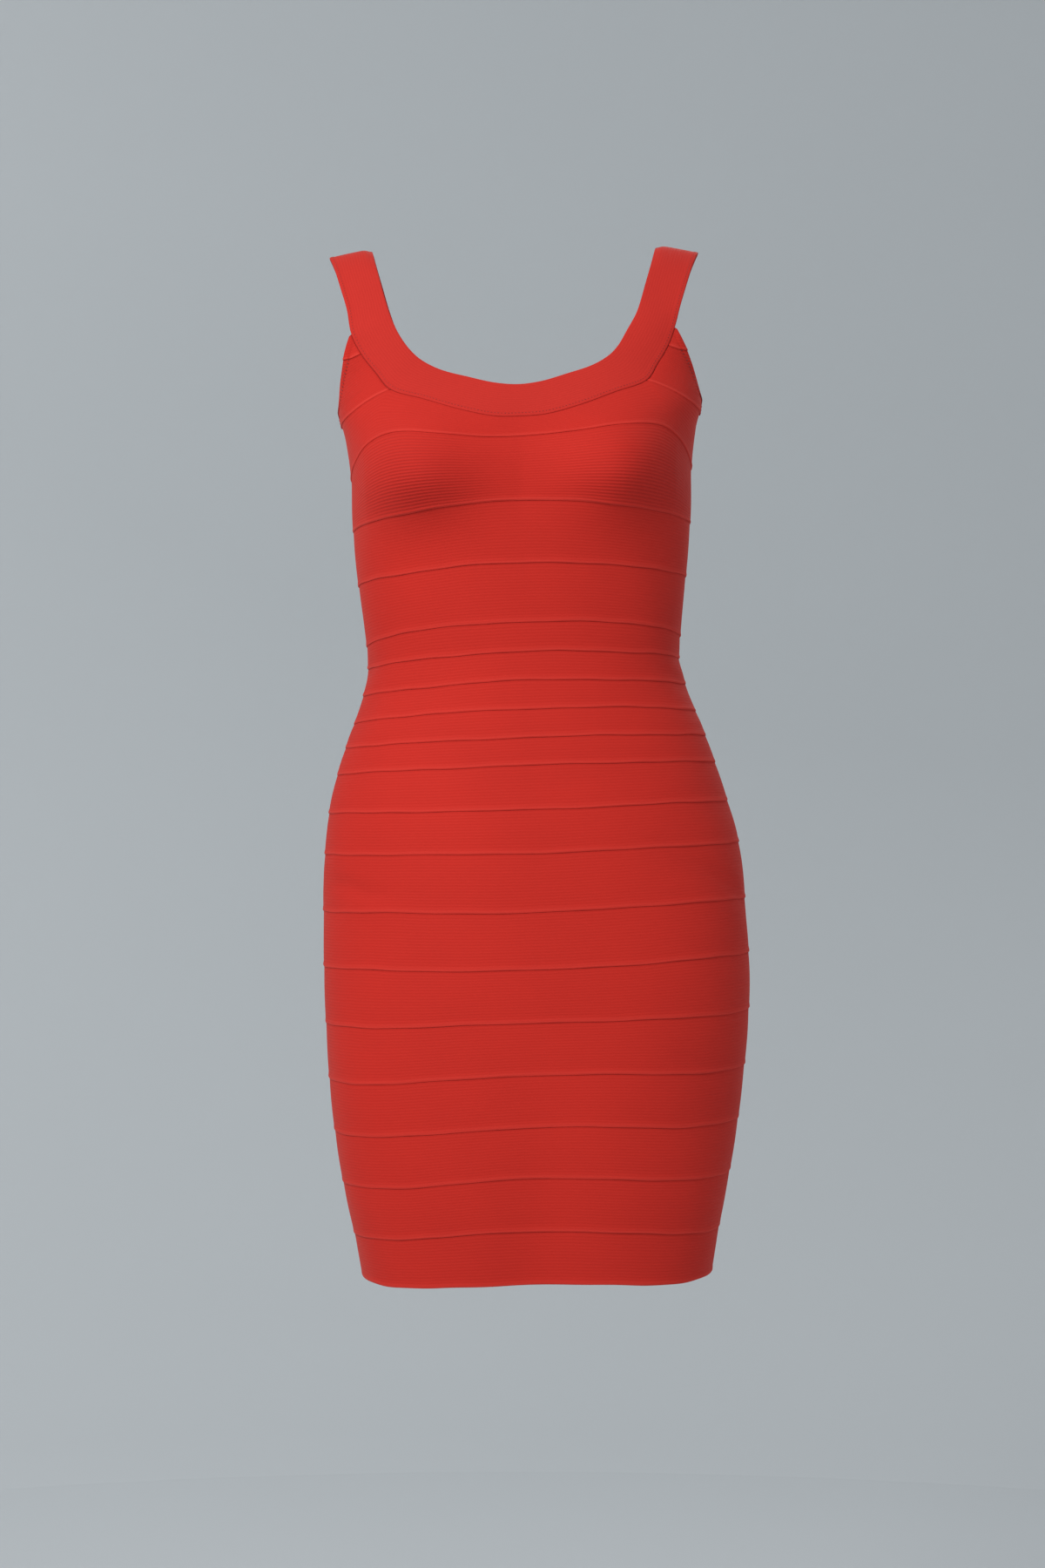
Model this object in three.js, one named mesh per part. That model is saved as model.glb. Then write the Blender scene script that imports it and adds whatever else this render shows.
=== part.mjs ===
// A short, close-fitting dress sewn from horizontal strips of heavy elastic knit, as it stands when worn.
// Lengths are in millimetres and angles in degrees. +Z is up, the front faces -Y and the wearer's left is +X.
// The tables are read about the dress's own centre line, with heights counted down from the shoulder tops.

import * as THREE from "three";

// Cloth and seams
const WALL = 1.8; // thickness of the knit strip
const SEAM_GAP = 0.3; // clearance between two strips that are sewn together
const BAND_GAP = 0.4; // clearance under the neckband's curved edge
const SLOPE_GAP = 0.6; // clearance, straight up, at the sloping seams beside the armholes
const LAP = 0.9; // how far a strip's lower edge stands over the next strip's upper edge
const TUCK = 0.4; // how far a strip's upper edge sinks below the face
const CROWN = 0.3; // swell of a strip between its two seams

// Mesh steps
const HALF_COLUMNS = 24; // columns of a half round strip, from side seam to side seam
const COLUMN_SPREAD = 1.25; // power that evens out the columns' widths
const ROW_HEIGHT = 16; // rough height of one row of a strip
const BAND_ROWS = 2; // rows across the neckband and down the bust top strip
const STATION_STEPS = 2; // steps between two stations of the neckband
const NORMAL_STEP = 0.5; // step in degrees or millimetres for the surface normal

// Where the wearer's shoulders hold the dress: under the straps' tops, halfway between them
const HELD_AT = { x: -6.8, y: 12, z: -3.3 };

// The dress's outer face, a row for each level section. sway is the section's middle, slope its rise per
// millimetre towards +X, half its half width, front and back its depths, and round its superellipse power.
const SECTIONS = [
  { z: -55, sway: -6.8, slope: 0.014, half: 156, front: 47, back: 60, round: 3.2 },
  { z: -70, sway: -7.2, slope: 0.022, half: 151, front: 55, back: 66, round: 3.0 },
  { z: -100, sway: -4.4, slope: 0.032, half: 142, front: 68, back: 80, round: 2.8 },
  { z: -128, sway: -1.8, slope: 0.038, half: 140.6, front: 84, back: 88, round: 2.65 },
  { z: -145, sway: -1.7, slope: 0.04, half: 136.2, front: 93, back: 91, round: 2.55 },
  { z: -172, sway: -1.5, slope: 0.038, half: 132.6, front: 98, back: 92, round: 2.5 },
  { z: -213, sway: -1.0, slope: 0.027, half: 131.4, front: 95, back: 90, round: 2.4 },
  { z: -254, sway: -0.4, slope: 0.028, half: 127.9, front: 90, back: 84, round: 2.35 },
  { z: -294, sway: 0.7, slope: 0.034, half: 123.2, front: 86, back: 74, round: 2.3 },
  { z: -322, sway: 1.4, slope: 0.036, half: 121.7, front: 84, back: 69, round: 2.25 },
  { z: -349, sway: 1.9, slope: 0.038, half: 127.2, front: 85, back: 70, round: 2.2 },
  { z: -376, sway: 2.5, slope: 0.037, half: 137.4, front: 88, back: 77, round: 2.2 },
  { z: -403, sway: 2.9, slope: 0.035, half: 146.5, front: 92, back: 88, round: 2.2 },
  { z: -430, sway: 4.0, slope: 0.033, half: 154.0, front: 96, back: 99, round: 2.2 },
  { z: -458, sway: 6.6, slope: 0.03, half: 159.8, front: 99, back: 109, round: 2.2 },
  { z: -485, sway: 8.2, slope: 0.03, half: 163.0, front: 101, back: 116, round: 2.2 },
  { z: -526, sway: 9.8, slope: 0.033, half: 164.4, front: 103, back: 120, round: 2.25 },
  { z: -566, sway: 11.0, slope: 0.034, half: 165.5, front: 104, back: 118, round: 2.3 },
  { z: -607, sway: 11.2, slope: 0.034, half: 164.2, front: 103, back: 113, round: 2.35 },
  { z: -648, sway: 10.9, slope: 0.034, half: 160.9, front: 102, back: 108, round: 2.4 },
  { z: -689, sway: 10.9, slope: 0.032, half: 155.7, front: 100, back: 102, round: 2.45 },
  { z: -730, sway: 11.1, slope: 0.028, half: 148.7, front: 97, back: 97, round: 2.5 },
  { z: -770, sway: 11.7, slope: 0.018, half: 140.6, front: 93, back: 92, round: 2.5 },
  { z: -805, sway: 12.0, slope: 0.015, half: 134.5, front: 90, back: 88, round: 2.5 },
];

// Cups that stretch the bust strips, on each side of the centre line
const CUP = { out: 84, z: -184, depth: 25, wide: 46, above: 44, below: 33 };
// Shallow hollow where the skirt's front spans its two sides, deepest at the hem
const SPAN = { from: -560, to: -800, depth: 6, wide: 36 };
// The back's spread behind the armholes
const BLADE = { z: -112, out: 6, tall: 24 };

// Seams that run right round the dress, by height at the centre front, halfway round the front (quarter),
// the side seam and the centre back. Each strip hangs between one seam and the next.
const SEAMS = [
  { front: -155.4, quarter: -149.4, side: -177, back: -173 },
  { front: -204.3, quarter: -213, side: -218, back: -216 },
  { front: -250.4, quarter: -255.8, side: -260, back: -258 },
  { front: -294.8, quarter: -299, side: -306.5, back: -303 },
  { front: -317.1, quarter: -320.5, side: -323.5, back: -321 },
  { front: -338.8, quarter: -342, side: -344, back: -342 },
  { front: -360.5, quarter: -362.5, side: -365.5, back: -363 },
  { front: -382.2, quarter: -383.3, side: -384.5, back: -383 },
  { front: -403.2, quarter: -404, side: -405, back: -403 },
  { front: -436.6, quarter: -435.3, side: -435, back: -434 },
  { front: -469.3, quarter: -467.7, side: -467, back: -467 },
  { front: -513.6, quarter: -511, side: -510.7, back: -511 },
  { front: -556.7, quarter: -554.1, side: -552.8, back: -554 },
  { front: -596.5, quarter: -598, side: -596.7, back: -597 },
  { front: -635.9, quarter: -640.9, side: -640, back: -640 },
  { front: -675.4, quarter: -681.2, side: -680.2, back: -681 },
  { front: -714.3, quarter: -721.1, side: -720.1, back: -721 },
  { front: -754.6, quarter: -761.2, side: -762.5, back: -761 },
  { front: -795, quarter: -798.5, side: -796.5, back: -798 },
];

// The neckband from the centre line to the shoulder top: its neckline edge and its seam edge. y is left
// out where the band lies on the dress's own face, and backY is the back strap's.
const NECKBAND = [
  { edge: { x: 0, z: -113.6 }, seam: { x: 0, z: -139.8 } },
  { edge: { x: 17, z: -111.8 }, seam: { x: 19.7, z: -138.9 } },
  { edge: { x: 37, z: -106.3 }, seam: { x: 46, z: -132.3 } },
  { edge: { x: 58, z: -99.5 }, seam: { x: 72.4, z: -122.8 } },
  { edge: { x: 71.5, z: -91.6 }, seam: { x: 97.5, z: -113.1 } },
  { edge: { x: 79.5, z: -83.5 }, seam: { x: 107.5, z: -99.5 } },
  { edge: { x: 87.4, z: -71 }, seam: { x: 117.7, z: -84.1 } },
  { edge: { x: 94.2, z: -57 }, seam: { x: 124.4, z: -68.7 } },
  { edge: { x: 99.5, z: -40.6 }, seam: { x: 128.6, z: -50 }, y: -34.5, backY: 51.5 },
  { edge: { x: 104.3, z: -23 }, seam: { x: 134.3, z: -31 }, y: -22.5, backY: 42.5 },
  { edge: { x: 108.4, z: -7.8 }, seam: { x: 139.4, z: -14.9 }, y: -9.5, backY: 31.5 },
  { edge: { x: 110.6, z: 1.3 }, seam: { x: 143.2, z: -5.4 }, y: 2, backY: 21 },
  { edge: { x: 111.5, z: 4.3 }, seam: { x: 144.6, z: -2.6 }, y: 12, backY: 12 },
];
// The back is cut like the front, but its neckband's middle lies this much higher
const BACK_RISE = 13;

// Seam from the neckband down to the underarm, seam across the shoulder corner, and the armhole's edge,
// whose last row runs down the side seam
const UNDERARM_SEAM = [
  { x: 97.5, z: -113.1 },
  { x: 116, z: -121 },
  { x: 130, z: -128.5 },
  { x: 138.4, z: -133.3 },
  { x: 143, z: -135 },
];
const SHOULDER_SEAM = [
  { x: 117.7, z: -84.1 },
  { x: 125.8, z: -87 },
  { x: 132.6, z: -87.6 },
];
const ARMHOLE_EDGE = [
  { x: 126.4, z: -70.6 },
  { x: 129.4, z: -78.4 },
  { x: 132.6, z: -87.6 },
  { x: 136.2, z: -102 },
  { x: 138.8, z: -116.5 },
  { x: 141.4, z: -128 },
  { x: 143, z: -135 },
];
// Where the small pieces beside the armhole begin and end: the neckband's station, the row of the armhole's
// edge, the seam between the two, and that seam's clearance straight up
const ARMHOLE_TOP = { station: 7, armholeRow: 0, gap: SEAM_GAP };
const SHOULDER_CUT = { station: 6, armholeRow: 2, gap: SEAM_GAP, rows: SHOULDER_SEAM };
const UNDERARM_CUT = { station: 4, armholeRow: 6, gap: SLOPE_GAP, rows: UNDERARM_SEAM };

const { clamp, degToRad, lerp, radToDeg, smoothstep } = THREE.MathUtils;
const bell = (distance, width) => Math.exp(-((distance / width) ** 2));

// Cubic curve through the rows' values of one column, by their key column in falling or rising order.
function between(rows, key, column, at) {
  const falling = rows[0][key] > rows[1][key];
  const found = rows.findIndex((row) => (falling ? row[key] <= at : row[key] >= at));
  const i = clamp(found < 0 ? rows.length - 1 : found, 1, rows.length - 1);
  const slopeAt = (k) => {
    const a = rows[Math.max(k - 1, 0)];
    const b = rows[Math.min(k + 1, rows.length - 1)];
    return (b[column] - a[column]) / (b[key] - a[key]);
  };
  const [low, high] = [rows[i - 1], rows[i]];
  const span = high[key] - low[key];
  const t = clamp((at - low[key]) / span, 0, 1);
  const [t2, t3] = [t * t, t * t * t];
  return (
    (2 * t3 - 3 * t2 + 1) * low[column] +
    (t3 - 2 * t2 + t) * span * slopeAt(i - 1) +
    (3 * t2 - 2 * t3) * high[column] +
    (t3 - t2) * span * slopeAt(i)
  );
}

// Every column of the section table at a height.
function sectionAt(z) {
  const columns = ["sway", "slope", "half", "front", "back", "round"];
  return Object.fromEntries(columns.map((column) => [column, between(SECTIONS, "z", column, z)]));
}

// How far the cups push the front forward.
function cupDepth(x, z) {
  const tall = z > CUP.z ? CUP.above : CUP.below;
  return CUP.depth * bell(Math.abs(x) - CUP.out, CUP.wide) * bell(z - CUP.z, tall);
}

// How far the skirt's front sinks between its sides.
function spanDepth(x, z) {
  return SPAN.depth * smoothstep(SPAN.from - z, 0, SPAN.from - SPAN.to) * bell(x, SPAN.wide);
}

// A point of the dress's outer face. The angle is 0 at the centre front, 90 at the +X side seam and 180 at
// the centre back.
function facePoint(angle, z) {
  const s = sectionAt(z);
  const [across, along] = [Math.sin(degToRad(angle)), Math.cos(degToRad(angle))];
  const power = 2 / s.round;
  let x = s.half * Math.sign(across) * Math.abs(across) ** power;
  let y = (along > 0 ? -s.front : s.back) * Math.abs(along) ** power;
  if (along > 0) {
    y += (spanDepth(x, z) - cupDepth(x, z)) * Math.min(1, 2 * along);
  } else {
    x -= BLADE.out * bell(z - BLADE.z, BLADE.tall) * Math.sin(degToRad(2 * angle));
  }
  return new THREE.Vector3(x + s.sway, y, z + s.slope * x);
}

// A place is a point of the outer face with its outward normal.
function facePlace(angle, z) {
  const round = facePoint(angle + NORMAL_STEP, z).sub(facePoint(angle - NORMAL_STEP, z));
  const up = facePoint(angle, z + NORMAL_STEP).sub(facePoint(angle, z - NORMAL_STEP));
  return { point: facePoint(angle, z), normal: round.cross(up).normalize() };
}

// The angle kept clear of the side seam on its own half of the dress.
function keptAngle(angle, z, isBack) {
  const s = sectionAt(z);
  const clear = (SEAM_GAP / 2 / (isBack ? s.back : s.front)) ** (s.round / 2);
  const most = radToDeg(Math.acos(clear));
  return isBack ? clamp(angle, 180 - most, 180 + most) : clamp(angle, -most, most);
}

// The angle at which the face stands out by x from its middle, on the front or on the back.
function angleAt(x, z, isBack) {
  const s = sectionAt(z);
  const share = Math.min(1, Math.abs(x) / s.half) ** (s.round / 2);
  const angle = radToDeg(Math.asin(share)) * Math.sign(x);
  return keptAngle(isBack ? 180 - angle : angle, z, isBack);
}

// A seam's height at an angle, the same on both sides of the centre line.
function seamHeight(seam, angle) {
  const turned = Math.abs(THREE.MathUtils.euclideanModulo(angle + 180, 360) - 180);
  const rows = [
    { angle: -45, z: seam.quarter },
    { angle: 0, z: seam.front },
    { angle: 45, z: seam.quarter },
    { angle: 90, z: seam.side },
    { angle: 180, z: seam.back },
    { angle: 270, z: seam.side },
  ];
  return between(rows, "angle", "z", turned);
}

// A closed wall over a grid of places. proud(p, q) is how far its face stands out there. Columns run to the
// right as seen from outside, and rows run down.
function wall(columns, rows, placeAt, proud) {
  const positions = [];
  const indices = [];
  const layer = (columns + 1) * (rows + 1);
  for (const isInner of [false, true]) {
    for (let i = 0; i <= columns; i++) {
      for (let j = 0; j <= rows; j++) {
        const place = placeAt(i / columns, j / rows);
        const offset = isInner ? -WALL : proud(i / columns, j / rows);
        positions.push(...place.point.clone().addScaledVector(place.normal, offset));
      }
    }
  }
  const at = (i, j, isInner) => i * (rows + 1) + j + (isInner ? layer : 0);
  const quad = (a, b, c, d) => indices.push(a, b, c, a, c, d);
  for (let i = 0; i < columns; i++) {
    for (let j = 0; j < rows; j++) {
      quad(at(i, j, false), at(i, j + 1, false), at(i + 1, j + 1, false), at(i + 1, j, false));
      quad(at(i, j, true), at(i + 1, j, true), at(i + 1, j + 1, true), at(i, j + 1, true));
    }
    quad(at(i, 0, false), at(i + 1, 0, false), at(i + 1, 0, true), at(i, 0, true));
    quad(at(i, rows, false), at(i, rows, true), at(i + 1, rows, true), at(i + 1, rows, false));
  }
  for (let j = 0; j < rows; j++) {
    quad(at(0, j, false), at(0, j, true), at(0, j + 1, true), at(0, j + 1, false));
    quad(at(columns, j, false), at(columns, j + 1, false), at(columns, j + 1, true), at(columns, j, true));
  }
  const geometry = new THREE.BufferGeometry();
  geometry.setAttribute("position", new THREE.Float32BufferAttribute(positions, 3));
  geometry.setIndex(indices);
  geometry.computeVertexNormals();
  return geometry;
}

// How far a sewn strip's face stands out, from its tucked upper edge to its lapping lower edge.
const stripProud = (p, q) => lerp(-TUCK, LAP, q) + CROWN * Math.sin(Math.PI * q);
// The neckline edge isn't tucked, and a piece beside the neckband is tucked along it.
const bandProud = (p, q) => LAP * q + CROWN * Math.sin(Math.PI * q);
const besideProud = (p, q) => (p === 0 ? -TUCK : stripProud(p, q));

// The angle of a column of one half, evenly spread from side seam to side seam.
function columnAngle(p, z, isBack) {
  const t = 2 * p - 1;
  const angle = 90 * Math.sign(t) * Math.abs(t) ** COLUMN_SPREAD;
  return keptAngle(isBack ? 180 + angle : angle, z, isBack);
}

// One half of a strip that hangs between two seams.
function roundStrip(upper, lower, isBack) {
  const lowerGap = lower === SEAMS.at(-1) ? 0 : SEAM_GAP / 2;
  const placeAt = (p, q) => {
    const angle = columnAngle(p, upper.side, isBack);
    const top = seamHeight(upper, angle) - SEAM_GAP / 2;
    return facePlace(angle, lerp(top, seamHeight(lower, angle) + lowerGap, q));
  };
  const rows = Math.round((upper.quarter - lower.quarter) / ROW_HEIGHT);
  return wall(HALF_COLUMNS, rows, placeAt, stripProud);
}

// How much higher the back's seams lie than the front's, out to where the two meet. The neckline's edges
// meet at the shoulder top, and the seams at the top of the armhole.
function riseAt(x, isBack, meet = NECKBAND[ARMHOLE_TOP.station].seam.x) {
  return isBack ? BACK_RISE * Math.max(0, 1 - (x / meet) ** 2) : 0;
}

// A point of the neckband at a station, a share of the way from its neckline edge to its seam.
function bandPoint(station, side, share, isBack) {
  const { edge, seam, y, backY } = NECKBAND[station];
  const x = lerp(edge.x, seam.x, share);
  const edgeRise = riseAt(edge.x, isBack, NECKBAND.at(-1).edge.x);
  const z = lerp(edge.z + edgeRise, seam.z + riseAt(seam.x, isBack), share);
  if (y === undefined) return facePoint(angleAt(side * x, z, isBack), z);
  const { sway, slope } = SECTIONS[0];
  return new THREE.Vector3(side * x + sway, isBack ? backY : y, z + side * slope * x);
}

// The front or the back neckband's run of places, from the right shoulder to the left one. station counts
// from the centre, below 0 on the right.
function bandRun(isBack) {
  const last = NECKBAND.length - 1;
  const stations = Array.from({ length: 2 * last + 1 }, (_, k) => k - last);
  const curves = [0, 0.5, 1].map((share) => {
    const points = stations.map((k) => bandPoint(Math.abs(k), Math.sign(k), share, isBack));
    return new THREE.CatmullRomCurve3(points, false, "centripetal");
  });
  const pointAt = (station, q) => {
    const at = clamp(0.5 + station / last / 2, 0, 1);
    const [edge, middle, seam] = curves.map((curve) => curve.getPoint(at));
    return q < 0.5 ? edge.lerp(middle, 2 * q) : middle.lerp(seam, 2 * q - 1);
  };
  const across = (station) => pointAt(station, 1).sub(pointAt(station, 0)).normalize();
  const placeAt = (station, q) => {
    const step = 0.25 / STATION_STEPS;
    const along = pointAt(station + step, q).sub(pointAt(station - step, q));
    const normal = across(station).cross(along).multiplyScalar(isBack ? -1 : 1);
    const point = pointAt(station, q);
    if (Math.abs(station) === last) {
      normal.y = 0;
      point.y += (isBack ? SEAM_GAP : -SEAM_GAP) / 2;
    }
    return { point, normal: normal.normalize() };
  };
  const besideAt = (station) => {
    const { point, normal } = placeAt(station, 1);
    return { point: point.addScaledVector(across(station), BAND_GAP), normal };
  };
  return { last, placeAt, besideAt };
}

// The front or the back neckband with its two half straps, from shoulder to shoulder.
function neckband(isBack) {
  const { last, placeAt } = bandRun(isBack);
  const station = (p) => (isBack ? 1 - 2 * p : 2 * p - 1) * last;
  return wall(2 * last * STATION_STEPS, BAND_ROWS, (p, q) => placeAt(station(p), q), bandProud);
}

// The row of a table of x and z at a row number, whole or not.
function rowAt(rows, number) {
  const numbered = rows.map((row, i) => ({ ...row, i }));
  return { x: between(numbered, "i", "x", number), z: between(numbered, "i", "z", number) };
}

// A spot is an angle and a height on the face. This is the spot of a table's row on one side.
function spotAt(rows, number, side, isBack) {
  const { x, z } = rowAt(rows, number);
  const height = z + riseAt(x, isBack);
  return { angle: angleAt(side * x, height, isBack), z: height };
}

// The spot of a station on the neckband's seam.
const bandSpot = (station, side, isBack) =>
  spotAt(NECKBAND.map((row) => row.seam), station, side, isBack);

// A place moved straight up.
const raised = ({ point, normal }, dz) => ({ point: point.clone().setZ(point.z + dz), normal });

// The strip between the neckband and the first round seam, with its ends under the arms.
function bustTopStrip(isBack) {
  const band = bandRun(isBack);
  const placeAt = (p, q) => {
    const column = Math.round(Math.abs(2 * p - 1) * (HALF_COLUMNS / 2));
    const beyond = column - UNDERARM_CUT.station * STATION_STEPS;
    const station = column / STATION_STEPS;
    const side = p < 0.5 === isBack ? 1 : -1;
    if (q === 0 && beyond <= 0) return band.besideAt(side * station);
    const top = beyond > 0 ? spotAt(UNDERARM_SEAM, beyond, side, isBack) : bandSpot(station, side, isBack);
    if (q === 0) return raised(facePlace(top.angle, top.z), -SLOPE_GAP / 2);
    const angle = columnAngle(p, SEAMS[0].side, isBack);
    const z = seamHeight(SEAMS[0], angle) + SEAM_GAP / 2;
    return facePlace(lerp(top.angle, angle, q), lerp(top.z, z, q));
  };
  return wall(HALF_COLUMNS, BAND_ROWS, placeAt, stripProud);
}

// A spot inside a four-sided piece, blended between the spots along its four edges.
function blendedSpot({ top, bottom, inner, outer }, p, q) {
  const blend = (key) =>
    (1 - p) * (inner(q)[key] - (1 - q) * inner(0)[key] - q * inner(1)[key]) +
    p * (outer(q)[key] - (1 - q) * outer(0)[key] - q * outer(1)[key]) +
    (1 - q) * top(p)[key] +
    q * bottom(p)[key];
  return { angle: blend("angle"), z: blend("z") };
}

// A piece between the neckband and one armhole, from its upper cut to its lower one.
function armholePiece(upper, lower, side, isBack) {
  const band = bandRun(isBack);
  const columns = lower.rows.length - 1;
  const rows = (upper.station - lower.station) * STATION_STEPS;
  const stationAt = (q) => lerp(upper.station, lower.station, q);
  const inner = (q) => bandSpot(stationAt(q), side, isBack);
  const outer = (q) => spotAt(ARMHOLE_EDGE, lerp(upper.armholeRow, lower.armholeRow, q), side, isBack);
  const seamSpot = (seam, p) =>
    seam.rows
      ? spotAt(seam.rows, p * (seam.rows.length - 1), side, isBack)
      : { angle: lerp(inner(0).angle, outer(0).angle, p), z: lerp(inner(0).z, outer(0).z, p) };
  const edges = { inner, outer, top: (p) => seamSpot(upper, p), bottom: (p) => seamSpot(lower, p) };
  const isTurned = side > 0 === isBack;
  const own = (p) => (isTurned ? 1 - p : p);
  const placeAt = (p, q) => {
    const up = lerp(-upper.gap, lower.gap, q) / 2;
    if (own(p) === 0) return raised(band.besideAt(side * stationAt(q)), up);
    const { angle, z } = blendedSpot(edges, own(p), q);
    return facePlace(keptAngle(angle, z, isBack), z + up);
  };
  return wall(columns, rows, placeAt, (p, q) => besideProud(own(p), q));
}

const knit = (color) => new THREE.MeshStandardMaterial({ color, roughness: 0.82, metalness: 0 });
const bodyKnit = knit(0xcb2f2a);
const bandKnit = knit(0xcf3a35);

const dress = new THREE.Group();
dress.position.set(-HELD_AT.x, -HELD_AT.y, -HELD_AT.z);

function add(name, geometry, material) {
  const mesh = new THREE.Mesh(geometry, material);
  mesh.name = name;
  dress.add(mesh);
}

for (const isBack of [false, true]) {
  const half = isBack ? "back" : "front";
  add(`${half}_neckband`, neckband(isBack), bandKnit);
  add(`${half}_bust_top_strip`, bustTopStrip(isBack), bodyKnit);
  for (const { side, hand } of [{ side: -1, hand: "right" }, { side: 1, hand: "left" }]) {
    const corner = armholePiece(ARMHOLE_TOP, SHOULDER_CUT, side, isBack);
    const strip = armholePiece(SHOULDER_CUT, UNDERARM_CUT, side, isBack);
    add(`${half}_${hand}_shoulder_corner`, corner, bodyKnit);
    add(`${half}_${hand}_armhole_strip`, strip, bodyKnit);
  }
  for (let k = 1; k < SEAMS.length; k++) {
    const name = `${half}_strip_${String(k).padStart(2, "0")}`;
    add(name, roundStrip(SEAMS[k - 1], SEAMS[k], isBack), bodyKnit);
  }
}

const part = new THREE.Group();
part.add(dress);

export default part;
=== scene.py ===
"""Looks of a bodycon dress, sewn from horizontal strips of elastic knit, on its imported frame.

Sizes in the tables are in millimetres and angles in degrees. They are read about the dress's own
centre line, with heights counted down from the shoulder tops. Meshes are in metres.
"""

import logging
import math
from dataclasses import dataclass
from enum import Enum
from typing import NamedTuple

import bpy
import numpy as np
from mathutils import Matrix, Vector

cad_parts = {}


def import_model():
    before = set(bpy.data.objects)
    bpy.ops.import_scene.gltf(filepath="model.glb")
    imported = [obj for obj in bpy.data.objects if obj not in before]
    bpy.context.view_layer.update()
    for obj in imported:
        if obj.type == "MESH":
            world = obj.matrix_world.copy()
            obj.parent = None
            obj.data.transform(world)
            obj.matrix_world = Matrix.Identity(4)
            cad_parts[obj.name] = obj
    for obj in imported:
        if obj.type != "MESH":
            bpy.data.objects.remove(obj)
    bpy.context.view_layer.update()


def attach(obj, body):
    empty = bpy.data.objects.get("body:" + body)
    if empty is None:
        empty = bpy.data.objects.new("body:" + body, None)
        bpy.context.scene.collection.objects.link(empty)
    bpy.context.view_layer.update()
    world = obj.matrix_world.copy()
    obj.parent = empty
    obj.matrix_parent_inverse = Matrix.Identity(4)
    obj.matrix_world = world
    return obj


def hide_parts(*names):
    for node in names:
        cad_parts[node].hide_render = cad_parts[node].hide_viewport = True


LOG = logging.getLogger("dress")

MM = 0.001
# Where the shoulders hold the dress, which is the frame's origin
HELD_AT = np.array([-6.8, 12.0, -3.3])

# Cloth and seams
WALL = 1.8
SEAM_GAP = 0.03
BAND_GAP = 0.1
SLOPE_GAP = 0.1
LAP = 0.26
TUCK = 0.12
CROWN = 0.22
STRAP_WIDTH = 32
BACK_RISE = 13.0
HALF_COLUMNS = 24
STATION_STEPS = 2
COLUMN_SPREAD = 1.25
NORMAL_STEP = 0.5
# How much longer a strip is when it is worn than when it was cut, and a small piece
STRETCH = 1.15
SMALL_STRETCH = 1.0


class Half(Enum):
    """The two halves of the dress, which meet at the side seams."""

    FRONT = "front"
    BACK = "back"


class Hand(Enum):
    """The wearer's right and left, with the sign of their side."""

    RIGHT = -1
    LEFT = 1


class Section(NamedTuple):
    """A level section of the outer face: its middle, rise across, half width, depths and squareness."""

    z: float
    sway: float
    slope: float
    half: float
    front: float
    back: float
    round: float


SECTIONS = (
    Section(-55, -6.8, 0.014, 156, 47, 60, 3.2),
    Section(-70, -7.2, 0.022, 151, 55, 66, 3.0),
    Section(-100, -4.4, 0.032, 142, 68, 80, 2.8),
    Section(-128, -1.8, 0.038, 140.6, 84, 88, 2.65),
    Section(-145, -1.7, 0.04, 136.2, 93, 91, 2.55),
    Section(-172, -1.5, 0.038, 132.6, 98, 92, 2.5),
    Section(-213, -1.0, 0.027, 131.4, 95, 90, 2.4),
    Section(-254, -0.4, 0.028, 127.9, 90, 84, 2.35),
    Section(-294, 0.7, 0.034, 123.2, 86, 74, 2.3),
    Section(-322, 1.4, 0.036, 121.7, 84, 69, 2.25),
    Section(-349, 1.9, 0.038, 127.2, 85, 70, 2.2),
    Section(-376, 2.5, 0.037, 137.4, 88, 77, 2.2),
    Section(-403, 2.9, 0.035, 146.5, 92, 88, 2.2),
    Section(-430, 4.0, 0.033, 154.0, 96, 99, 2.2),
    Section(-458, 6.6, 0.03, 159.8, 99, 109, 2.2),
    Section(-485, 8.2, 0.03, 163.0, 101, 116, 2.2),
    Section(-526, 9.8, 0.033, 164.4, 103, 120, 2.25),
    Section(-566, 11.0, 0.034, 165.5, 104, 118, 2.3),
    Section(-607, 11.2, 0.034, 164.2, 103, 113, 2.35),
    Section(-648, 10.9, 0.034, 160.9, 102, 108, 2.4),
    Section(-689, 10.9, 0.032, 155.7, 100, 102, 2.45),
    Section(-730, 11.1, 0.028, 148.7, 97, 97, 2.5),
    Section(-770, 11.7, 0.018, 140.6, 93, 92, 2.5),
    Section(-805, 12.0, 0.015, 134.5, 90, 88, 2.5),
)


class Seam(NamedTuple):
    """A seam right round the dress, by its height at four places."""

    front: float
    quarter: float
    side: float
    back: float


SEAMS = (
    Seam(-155.4, -149.4, -177, -173),
    Seam(-204.3, -213, -218, -216),
    Seam(-250.4, -255.8, -260, -258),
    Seam(-294.8, -299, -306.5, -303),
    Seam(-317.1, -320.5, -323.5, -321),
    Seam(-338.8, -342, -344, -342),
    Seam(-360.5, -362.5, -365.5, -363),
    Seam(-382.2, -383.3, -384.5, -383),
    Seam(-403.2, -404, -405, -403),
    Seam(-436.6, -435.3, -435, -434),
    Seam(-469.3, -467.7, -467, -467),
    Seam(-513.6, -511, -510.7, -511),
    Seam(-556.7, -554.1, -552.8, -554),
    Seam(-596.5, -598, -596.7, -597),
    Seam(-635.9, -640.9, -640, -640),
    Seam(-675.4, -681.2, -680.2, -681),
    Seam(-714.3, -721.1, -720.1, -721),
    Seam(-754.6, -761.2, -762.5, -761),
    Seam(-795, -798.5, -796.5, -798),
)


class Mark(NamedTuple):
    """A point of a seam or an edge, by its distance out and its height."""

    x: float
    z: float


class Station(NamedTuple):
    """A station of the neckband: its neckline edge, its seam edge and, on a strap, its depths."""

    edge: Mark
    seam: Mark
    y: float | None = None
    back_y: float | None = None


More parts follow.
